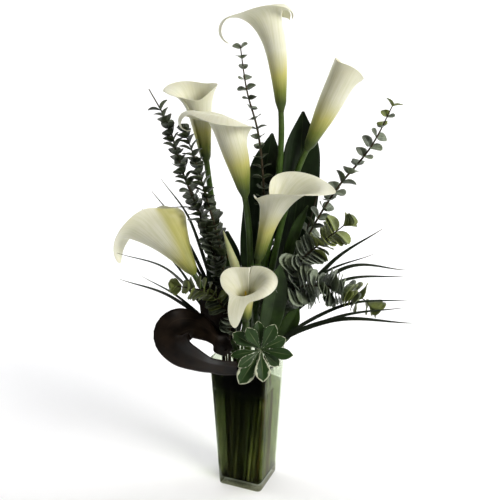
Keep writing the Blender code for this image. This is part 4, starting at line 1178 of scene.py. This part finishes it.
def make_spathe(key, settings):
    """A spathe, which thins toward its rim and waves a little there; its tone is what its colours follow."""
    lily = LILIES[key]
    flowers = settings.lilies
    grid, along, across, height = spathe_grid(lily, flowers.sheet, SPATHE_ROWS, SPATHE_COLUMNS)
    normal = grid_normals(grid)
    phase = lily["base"][0] * 0.37
    wave = np.sin(across * 6.3 + phase) + 0.6 * np.sin(across * 13.1 + 2 * phase)
    crease = -0.5 * np.exp(-(across / 0.03) ** 2)
    grid = grid + normal * ((wave * 0.9 * along ** 5 + crease * along ** 2) * MM)[..., None]
    halves = (flowers.sheet + (flowers.rim - flowers.sheet) * along ** 2) / 2
    growth = Growth()
    ripe = min(SPATHE_TONE, sum(lily["length"]) / 3 * MM * RIPE)
    start = lily.get("start", 0)
    tone = start + (1 - start) * height / ripe
    # Painted shade: the side of the spathe where across passes 0.47 has its tone drawn back toward the
    # throat's olive.
    painted_shade_band = lily.get("painted_side_shade", 0) * np.clip((across - 0.47) / 0.2, 0, 1)
    growth.sheet(grid, halves, tone - painted_shade_band * np.maximum(0, tone - THROAT_TONE))
    piece = grown(f"lily_{key}_bloom", growth, kept("spathe_skin", spathe_finish, flowers))
    settle(piece, f"lily_{key}_spathe")


def make_lily_stem(key, settings):
    """A lily stem, faintly ridged, that narrows from the vase's mouth up into the spathe."""
    lily = LILIES[key]
    base, axis, _, _ = lily_frame(lily)
    top = base + axis * SPATHE_SLEEVE
    points = stem_points(settings.vase, lily["slot"], [base], 60, core=True, end=axis, low=12) + [top]
    reach = [max(0.0, point.z - settings.vase.height) for point in points]
    radii = [LILY_STEM + (LILY_NECK + 0.5 * MM - LILY_STEM) * min(1, part / reach[-2]) for part in reach]
    radii[-1] = LILY_NECK
    growth = Growth()
    growth.line(points, radii)
    piece = grown(f"lily_{key}_stalk", growth, kept("lily_stem_skin", stem_finish, settings.lilies), 24)
    settle(piece, f"lily_{key}_stem")


def make_spadix(key, settings):
    """A spike covered in fine grains, laid out along a golden spiral."""
    lily = LILIES[key]
    base, axis, _, _ = lily_frame(lily)
    start = base + axis * (SPATHE_SLEEVE + GAP)
    places = np.array((0, 0.2, 0.7, 1))
    widths = np.array((0.75, 1, 0.95, 0.4)) * SPADIX_RADIUS
    grain = 0.42 * MM
    growth = Growth()
    growth.line([start + axis * SPADIX_LENGTH * part for part in np.linspace(0, 1, 20)],
                [np.interp(part, places, widths) - grain for part in np.linspace(0, 1, 20)])
    across = axis.orthogonal().normalized()
    count = settings.lilies.grains
    for index in range(count):
        part = 0.02 + 0.97 * index / count
        around = turned(across, axis, index * GOLDEN_TURN)
        radius = np.interp(part, places, widths) - grain
        place = start + axis * SPADIX_LENGTH * part + around * radius
        growth.leaf(place - axis * 0.6 * MM, axis.cross(around), axis, around, 1.1 * MM, 1.2 * MM, 0.5)
    piece = grown(f"lily_{key}_spike", growth, kept("spadix_grain", spadix_finish, settings.lilies))
    settle(piece, f"lily_{key}_spadix")


def make_bud(settings):
    """The pale rolled bud behind the low front lily, and its stem."""
    base, tip = mm(*BUD_BASE), mm(*BUD_TIP)
    along = (tip - base).normalized()
    points = stem_points(settings.vase, BUD_SLOT, [base], 40, end=along, low=10)
    stalk = Growth()
    stalk.line(points, [STALK] * len(points))
    piece = grown("pale_bud_stalk", stalk, kept("lily_stem_skin", stem_finish, settings.lilies))
    settle(piece, "pale_bud_stem")
    start = base + along * GAP
    places = (0, 0.12, 0.3, 0.6, 1)
    widths = (0.5, 0.85, 1, 0.65, 0.1)
    steps = np.linspace(0, 1, 40)
    bud = Growth()
    bud.line([start.lerp(tip, part) for part in steps],
             [BUD_RADIUS * np.interp(part, places, widths) for part in steps])
    piece = grown("pale_bud_petals", bud, bud_finish(settings.foliage), 28)
    settle(piece, "pale_bud")


def turned(vector, axis, angle):
    """The vector turned about a unit axis."""
    return Quaternion(axis, angle) @ vector


def pair_frame(points, along, turn):
    """The place, the stem's direction and the leaf's direction at a part of the way along a stem."""
    at = along * (len(points) - 1)
    index = min(int(at), len(points) - 2)
    place = points[index].lerp(points[index + 1], at - index)
    tangent = (points[index + 1] - points[index]).normalized()
    level = tangent.cross(Vector((0, -1, 0.2))).normalized()
    return place, tangent, level * math.cos(turn) + tangent.cross(level) * math.sin(turn)


def pair_leaves(points, along, turn, lift, twist, sides):
    """Each leaf of a pair: its root, the way across it, the way along it and the way its top looks."""
    place, tangent, out = pair_frame(points, along, turn)
    square = tangent.cross(out)
    leaves = []
    for side in sides:
        line = tangent * math.cos(lift) + out * side * math.sin(lift)
        over = turned(square, line, twist * side)
        cup = over.cross(line) * side
        leaves.append((place, over * -side, line, -cup))
    return leaves


def reaches(solid, leaves, width):
    """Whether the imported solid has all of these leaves, told by their far ends."""
    for place, _, line, _ in leaves:
        near, _, _, distance = solid.find_nearest(place + line * width * LEAF_RATIO)
        if near is None or distance > LEAF_MATCH:
            return False
    return True


def leaf_outline(leaf, width):
    """A leaf's rough outline, as one flat polygon."""
    place, across, line, _ = leaf
    length = width * LEAF_RATIO
    return [place + line * length * reach + across * width * half
            for reach, half in ((0.15, 0.0), (0.45, 0.5), (0.75, 0.45), (1.0, 0.15), (1.0, -0.15),
                                (0.75, -0.45), (0.45, -0.5))]


def is_free(leaves, width, others):
    """Whether leaves keep clear of every other plant."""
    points = []
    faces = []
    for leaf in leaves:
        outline = leaf_outline(leaf, width * 1.08)
        faces.append(tuple(range(len(points), len(points) + len(outline))))
        points += outline
    tree = BVHTree.FromPolygons(points, faces)
    return not any(other.overlap(tree) for other in others)


def node_tree(name):
    """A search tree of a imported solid's faces."""
    mesh = frame["nodes"][name].data
    return BVHTree.FromPolygons([vert.co for vert in mesh.vertices],
                                [tuple(face.vertices) for face in mesh.polygons])


def leaf_tone(sprig, part, draw):
    """How much pale bloom a leaf shows, which is partly painted light and shade set by its sprig, plus the
    mark of a young one near a sprig's end.
    """
    young = part > sprig.get("young", 1.1) + draw.uniform(-0.1, 0.1)
    return sprig["bloom_and_light"] + draw.uniform(-0.22, 0.22) + YOUNG * young


def first_fit(points, along, turn, lift, twist, fits):
    """The leaves of the first try that fits, or none."""
    for sides, turn_by, lift_by in LEAF_TRIES:
        leaves = pair_leaves(points, along, turn + math.radians(turn_by), math.radians(lift + lift_by),
                             twist, sides)
        if fits(leaves):
            return leaves
    return []


def leaf_pairs(growth, name, points, sprig, span, draw, extra, solids):
    """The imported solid's leaf pairs, and more of them between where they are clear."""
    solid = solids[name]
    others = [tree for other, tree in solids.items()
              if not name.startswith(other) and other not in ("vase", "water")]
    for index in range(sprig["pairs"]):
        part = index / max(1, sprig["pairs"] - 1)
        along = span[0] + (span[1] - span[0]) * part
        quarter = index * math.radians(90) + draw.uniform(-0.3, 0.3)
        width = between([(value, 0, 0) for value in sprig["leaf"]], part).x * MM * draw.uniform(0.93, 1.05)
        lift = sprig["lift"] + draw.uniform(-8, 8)
        twist = math.radians(draw.uniform(-1, 1) * sprig.get("twist", 38))
        for leaf in first_fit(points, along, quarter, lift, twist,
                              lambda leaves: reaches(solid, leaves, width)):
            growth.leaf(*leaf, width, width * LEAF_RATIO, leaf_tone(sprig, part, extra))
        if part == 1 or sprig["pairs"] == 1:
            continue
        more = sprig.get("between", 1)
        for number in range(more):
            further = along + (span[1] - span[0]) / (sprig["pairs"] - 1) * (number + 1) / (more + 1)
            smaller = width * extra.uniform(0.82, 0.95)
            around = quarter + math.radians(90 * (number + 1) / (more + 1) + extra.uniform(-12, 12))
            for leaf in first_fit(points, further, around, lift, twist,
                                  lambda leaves: is_free(leaves, smaller, others)):
                growth.leaf(*leaf, smaller, smaller * LEAF_RATIO, leaf_tone(sprig, part, extra))


def make_eucalyptus(settings):
    """Every sprig and its young tip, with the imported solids' leaves and more of them between."""
    foliage = settings.foliage
    draw = random.Random(SEED)
    extra = random.Random(SEED + 1)
    solids = {name: node_tree(name) for name in frame["nodes"]}
    leaf = eucalyptus_finish("eucalyptus_leaf", foliage, foliage.eucalyptus, foliage.bloom_and_light)
    young = eucalyptus_finish("young_leaf", foliage, times(foliage.young, YOUNG_BELOW), foliage.young)
    ends = {}
    for key, sprig in SPRIGS.items():
        above = [mm(*point) for point in sprig["points"]]
        growth = Growth()
        fine = stem_points(settings.vase, sprig["slot"], above, 60, low=10)
        last = len(fine) - 1
        taper = [SPRIG_STEM * min(1.0, 0.5 + 0.5 * (last - index) / 14) for index in range(len(fine))]
        growth.line(fine, taper)
        coarse = stem_points(settings.vase, sprig["slot"], above, 10)
        ends[key] = coarse[-1]
        name = f"eucalyptus_{key}"
        leaf_pairs(growth, name, coarse[1:], sprig, sprig["span"], draw, extra, solids)
        settle(grown(name + "_leaves", growth, leaf, 12), name)
    for key, tip in TIPS.items():
        end = mm(*tip["end"])
        start = ends[key] + (end - ends[key]).normalized() * GAP
        points = [start, start.lerp(end, 0.5), end]
        growth = Growth()
        growth.line(points, [SPRIG_STEM * part for part in (0.55, 0.5, 0.4)])
        name = f"eucalyptus_{key}_tip"
        leaf_pairs(growth, name, points, tip, (0.3, 0.95), draw, extra, solids)
        settle(grown(name + "_leaves", growth, young, 12), name)


def make_grass(settings):
    """Tufts of blades that rise from one stalk and arch over."""
    finish = grass_finish(settings.foliage)
    for key, tuft in TUFTS.items():
        growth = Growth()
        top = mm(*tuft["top"])
        stalk = stem_points(settings.vase, tuft["slot"], [top], 30, low=8)
        taper = [STALK * (1 - 0.3 * max(0, index - 30) / 8) for index in range(len(stalk))]
        growth.line(stalk, taper, end=0.3)
        _, mouth = slot_line(settings.vase, tuft["slot"])
        for middle, end, width in tuft["blades"]:
            path = spline([mouth.lerp(top, 0.6), mm(*middle), mm(*end)], start=top - mouth)
            centres = resample(path, 40)
            sides = blade_sides(centres, [GRASS_FACE] * len(centres))
            faces = [side.cross(tangent_at(centres, index)).normalized() for index, side in enumerate(sides)]
            halves = [max(0.25 * MM, width * MM / 2 * part)
                      for part in flowing((0.4, 0.75, 1, 0.95, 0.75, 0.45, 0.12), 40)]
            growth.line(centres, halves, BLADE, faces)
        settle(grown(f"grass_{key}_blades", growth, finish, 12), f"grass_{key}")


def leaf_stalk(growth, vase, slot, top, radius, tone=0.5):
    """The stalk that a leaf stands on, which is the first fifth of its length to its finish."""
    stalk = stem_points(vase, slot, [top], 30, low=8)
    growth.line(stalk, [radius] * len(stalk), end=0.2, tone=tone)


def leaf_middle(points, rows):
    """The evenly spread middle line of a leaf, whose start is sunk into its stalk."""
    start = points[0] - (points[1] - points[0]).normalized() * BLADE_SINK
    return resample(spline([start] + points[1:]), rows)


def make_broad_leaves(settings):
    """Broad blades with a fold along the middle and gently waving edges."""
    finish = broad_finish(settings.foliage)
    rows = 44
    for key, leaf in BROAD.items():
        points = [mm(*point) for point in leaf["points"]]
        growth = Growth()
        fresh = leaf.get("fresh", 0.1)
        leaf_stalk(growth, settings.vase, leaf["slot"], points[0], STALK, fresh)
        centres = leaf_middle(points, rows)
        sides = blade_sides(centres, [Vector(leaf["face"])] * rows)
        halves = [max(STALK * 0.4, leaf["width"] * MM / 2 * part)
                  for part in flowing((0.12, 0.62, 0.92, 1, 0.98, 0.82, 0.06), rows)]
        phase = leaf["slot"]

        def ripple(along, across):
            wave = math.sin(11 * along + phase + across)
            return 0.05 * across * across * wave - 0.05 * math.cos(3 * across)

        growth.ribbon(centres, sides, halves, 19, 0.22, BLADE_THICK, fresh, ripple)
        settle(grown(f"broad_leaf_{key}_blade", growth, finish, 14), f"broad_leaf_{key}")


def make_dark_leaves(settings):
    """The standing and the looped brown-black leaf."""
    finish = dark_finish(settings.foliage)
    rows = 64
    for key, leaf in DARK.items():
        points = [mm(*point) for point in leaf["points"]]
        growth = Growth()
        leaf_stalk(growth, settings.vase, leaf["slot"], points[0], STALK)
        centres = leaf_middle(points, rows)
        faces = [between(leaf["faces"], row / (rows - 1)) for row in range(rows)]
        sides = blade_sides(centres, faces)
        span = leaf.get("span", 0.9)
        shape = [math.sin(math.pi * (0.04 + span * row / (rows - 1))) ** 0.6 for row in range(rows)]
        halves = [max(STALK * 0.4, leaf["width"] * MM / 2 * part) for part in shape]

        def ripple(along, across):
            return 0.04 * across * across * math.sin(15 * along + across)

        growth.ribbon(centres, sides, halves, 17, 0.12, BLADE_THICK, 0.5, ripple)
        settle(grown(f"dark_leaf_{key}_blade", growth, finish, 14), f"dark_leaf_{key}")


def make_rosette(settings):
    """White-edged leaves spread from one point."""
    middle = mm(*ROSETTE_MIDDLE)
    out = Vector((0, -0.95, 0.3))
    upward = Vector((0, 0.3, 0.95))
    rows = 30
    growth = Growth()
    leaf_stalk(growth, settings.vase, ROSETTE_SLOT, middle, SPRIG_STEM, 0.0)
    spread = np.linspace(0.03, 1, rows)
    shape = np.interp(spread, (0.03, 0.15, 0.3, 0.45, 0.58, 0.70, 0.82, 0.92, 1),
                      (0.07, 0.16, 0.34, 0.64, 0.90, 1.0, 0.86, 0.52, 0.08))
    for index, (clock, length, width) in enumerate(ROSETTE_LEAVES):
        angle = math.radians(clock)
        flat = Vector((math.cos(angle), 0, 0)) + upward * math.sin(angle)
        along = (flat + out * (0.18 + 0.4 * (index % 2))).normalized()
        across = along.cross(out).normalized()
        facing = across.cross(along)
        centres = [middle + along * length * MM * s - facing * length * MM * 0.18 * s * s for s in spread]
        halves = [width * MM / 2 * half for half in shape]

        def ripple(part, side):
            return 0.07 * side * side * math.sin(12 * part + index * 2 + side)

        growth.ribbon(centres, [across] * rows, halves, 13, 0.2, ROSETTE_THICK, ROSETTE_MARGINS[index],
                      ripple)
    piece = grown("rosette_leaves", growth, rosette_finish(settings.foliage))
    settle(piece, "white_edged_rosette")


def lamp(name, place, target, size, power, colour):
    """A soft square light at a place, which looks at its target."""
    light = bpy.data.lights.new(name, "AREA")
    light.size = size
    light.energy = power
    light.color = colour
    item = placed(name, light)
    item.location = place
    item.rotation_euler = (Vector(target) - Vector(place)).to_track_quat("-Z", "Y").to_euler()


def make_stage(settings):
    """A pale sweep, a soft key light from the right front, a weak fill from the left, and the camera."""
    stage = settings.stage
    bend, radius = 1.2, 0.6
    profile = [(-4.0, 0.0), (bend, 0.0)]
    for step in range(1, 13):
        turn = math.pi / 2 * step / 12
        profile.append((bend + radius * math.sin(turn), radius * (1 - math.cos(turn))))
    profile.append((bend + radius, 5.0))
    points = [(x, y, z) for y, z in profile for x in (-6.0, 6.0)]
    faces = [(2 * i, 2 * i + 1, 2 * i + 3, 2 * i + 2) for i in range(len(profile) - 1)]
    mesh = bpy.data.meshes.new("floor_sweep")
    mesh.from_pydata(points, [], faces)
    mesh.shade_smooth()
    mesh.materials.append(floor_finish(stage))
    placed("floor_sweep", mesh)

    middle = (0, 0, MIDDLE_HEIGHT)
    lamp("key", (1.5, -1.3, 1.5), middle, 0.9, stage.key, (1.0, 0.97, 0.92))
    lamp("fill", (-1.9, -0.9, 0.9), middle, 1.4, stage.fill, (1.0, 0.93, 0.82))
    for side in (-1, 1):
        lamp(f"backdrop_{side}", (1.5 * side, 0.75, 1.6), (0.3 * side, 1.8, 0.5), 1.2, stage.back,
             (1.0, 0.99, 0.98))
    world = bpy.data.worlds.new("soft_surround")
    world.use_nodes = True
    sky = world.node_tree.nodes["Background"]
    sky.inputs["Color"].default_value = (1.0, 0.98, 0.95, 1)
    sky.inputs["Strength"].default_value = stage.sky
    scene = bpy.context.scene
    scene.world = world
    scene.view_settings.view_transform = "Standard"

    data = bpy.data.cameras.new("camera")
    data.lens = VIEW_LENS
    data.sensor_width = 36
    data.clip_start = 0.05
    camera = placed("camera", data)
    camera.location = (VIEW_SIDE, -VIEW_AWAY * math.cos(VIEW_PITCH),
                       MIDDLE_HEIGHT + VIEW_AWAY * math.sin(VIEW_PITCH))
    camera.rotation_euler = (math.radians(90) - VIEW_PITCH, 0, 0)
    scene.camera = camera


# Operators, panel and the run

def settings_of(context):
    return context.scene.bouquet


class BOUQUET_OT_vase(bpy.types.Operator):
    """Make the glass vase and the water in it"""
    bl_idname = "bouquet.vase"
    bl_label = "Vase and Water"

    def execute(self, context):
        make_vase(settings_of(context))
        make_water(settings_of(context))
        return {"FINISHED"}


class BOUQUET_OT_lilies(bpy.types.Operator):
    """Make each calla lily: its stem, its spathe and its spadix"""
    bl_idname = "bouquet.lilies"
    bl_label = "Calla Lilies"

    def execute(self, context):
        for key in LILIES:
            make_lily_stem(key, settings_of(context))
            make_spathe(key, settings_of(context))
            make_spadix(key, settings_of(context))
        return {"FINISHED"}


class BOUQUET_OT_bud(bpy.types.Operator):
    """Make the pale bud and its stem"""
    bl_idname = "bouquet.bud"
    bl_label = "Pale Bud"

    def execute(self, context):
        make_bud(settings_of(context))
        return {"FINISHED"}


class BOUQUET_OT_eucalyptus(bpy.types.Operator):
    """Make the eucalyptus sprigs and their young tips"""
    bl_idname = "bouquet.eucalyptus"
    bl_label = "Eucalyptus"

    def execute(self, context):
        make_eucalyptus(settings_of(context))
        return {"FINISHED"}


class BOUQUET_OT_grass(bpy.types.Operator):
    """Make the tufts of arching grass"""
    bl_idname = "bouquet.grass"
    bl_label = "Grass"

    def execute(self, context):
        make_grass(settings_of(context))
        return {"FINISHED"}


class BOUQUET_OT_broad_leaves(bpy.types.Operator):
    """Make the broad, strap and folded green leaves"""
    bl_idname = "bouquet.broad_leaves"
    bl_label = "Broad Leaves"

    def execute(self, context):
        make_broad_leaves(settings_of(context))
        return {"FINISHED"}


class BOUQUET_OT_dark_leaves(bpy.types.Operator):
    """Make the brown-black leaves"""
    bl_idname = "bouquet.dark_leaves"
    bl_label = "Dark Leaves"

    def execute(self, context):
        make_dark_leaves(settings_of(context))
        return {"FINISHED"}


class BOUQUET_OT_rosette(bpy.types.Operator):
    """Make the rosette of white-edged leaves"""
    bl_idname = "bouquet.rosette"
    bl_label = "White-edged Rosette"

    def execute(self, context):
        make_rosette(settings_of(context))
        return {"FINISHED"}


class BOUQUET_OT_stage(bpy.types.Operator):
    """Make the floor, the lights and the camera"""
    bl_idname = "bouquet.stage"
    bl_label = "Stage"

    def execute(self, context):
        make_stage(settings_of(context))
        return {"FINISHED"}


OPERATORS = (BOUQUET_OT_vase, BOUQUET_OT_lilies, BOUQUET_OT_bud, BOUQUET_OT_eucalyptus, BOUQUET_OT_grass,
             BOUQUET_OT_broad_leaves, BOUQUET_OT_dark_leaves, BOUQUET_OT_rosette, BOUQUET_OT_stage)


class BOUQUET_PT_panel(bpy.types.Panel):
    """Lists the bouquet's sizes, colours and operators"""
    bl_label = "Calla Lily Bouquet"
    bl_idname = "BOUQUET_PT_panel"
    bl_space_type = "VIEW_3D"
    bl_region_type = "UI"
    bl_category = "Bouquet"

    def draw(self, context):
        settings = settings_of(context)
        for name in ("vase", "lilies", "foliage", "stage"):
            group = getattr(settings, name)
            box = self.layout.box()
            box.label(text=name.title())
            for key in type(group).__annotations__:
                box.prop(group, key)
        for operator in OPERATORS:
            self.layout.operator(operator.bl_idname)


CLASSES = (VaseSettings, LilySettings, FoliageSettings, StageSettings, BouquetSettings, *OPERATORS,
           BOUQUET_PT_panel)


def register():
    for item in CLASSES:
        bpy.utils.register_class(item)
    bpy.types.Scene.bouquet = PointerProperty(type=BouquetSettings)


def unregister():
    del bpy.types.Scene.bouquet
    for item in reversed(CLASSES):
        bpy.utils.unregister_class(item)


def main():
    register()
    for operator in OPERATORS:
        group, name = operator.bl_idname.split(".")
        getattr(getattr(bpy.ops, group), name)()
    # The two forms have been grown into plain meshes, and aren't part of the bouquet.
    for form in ("leaf_form", "blade_form"):
        bpy.data.objects.remove(bpy.data.objects[form])


if __name__ == "__main__":
    main()
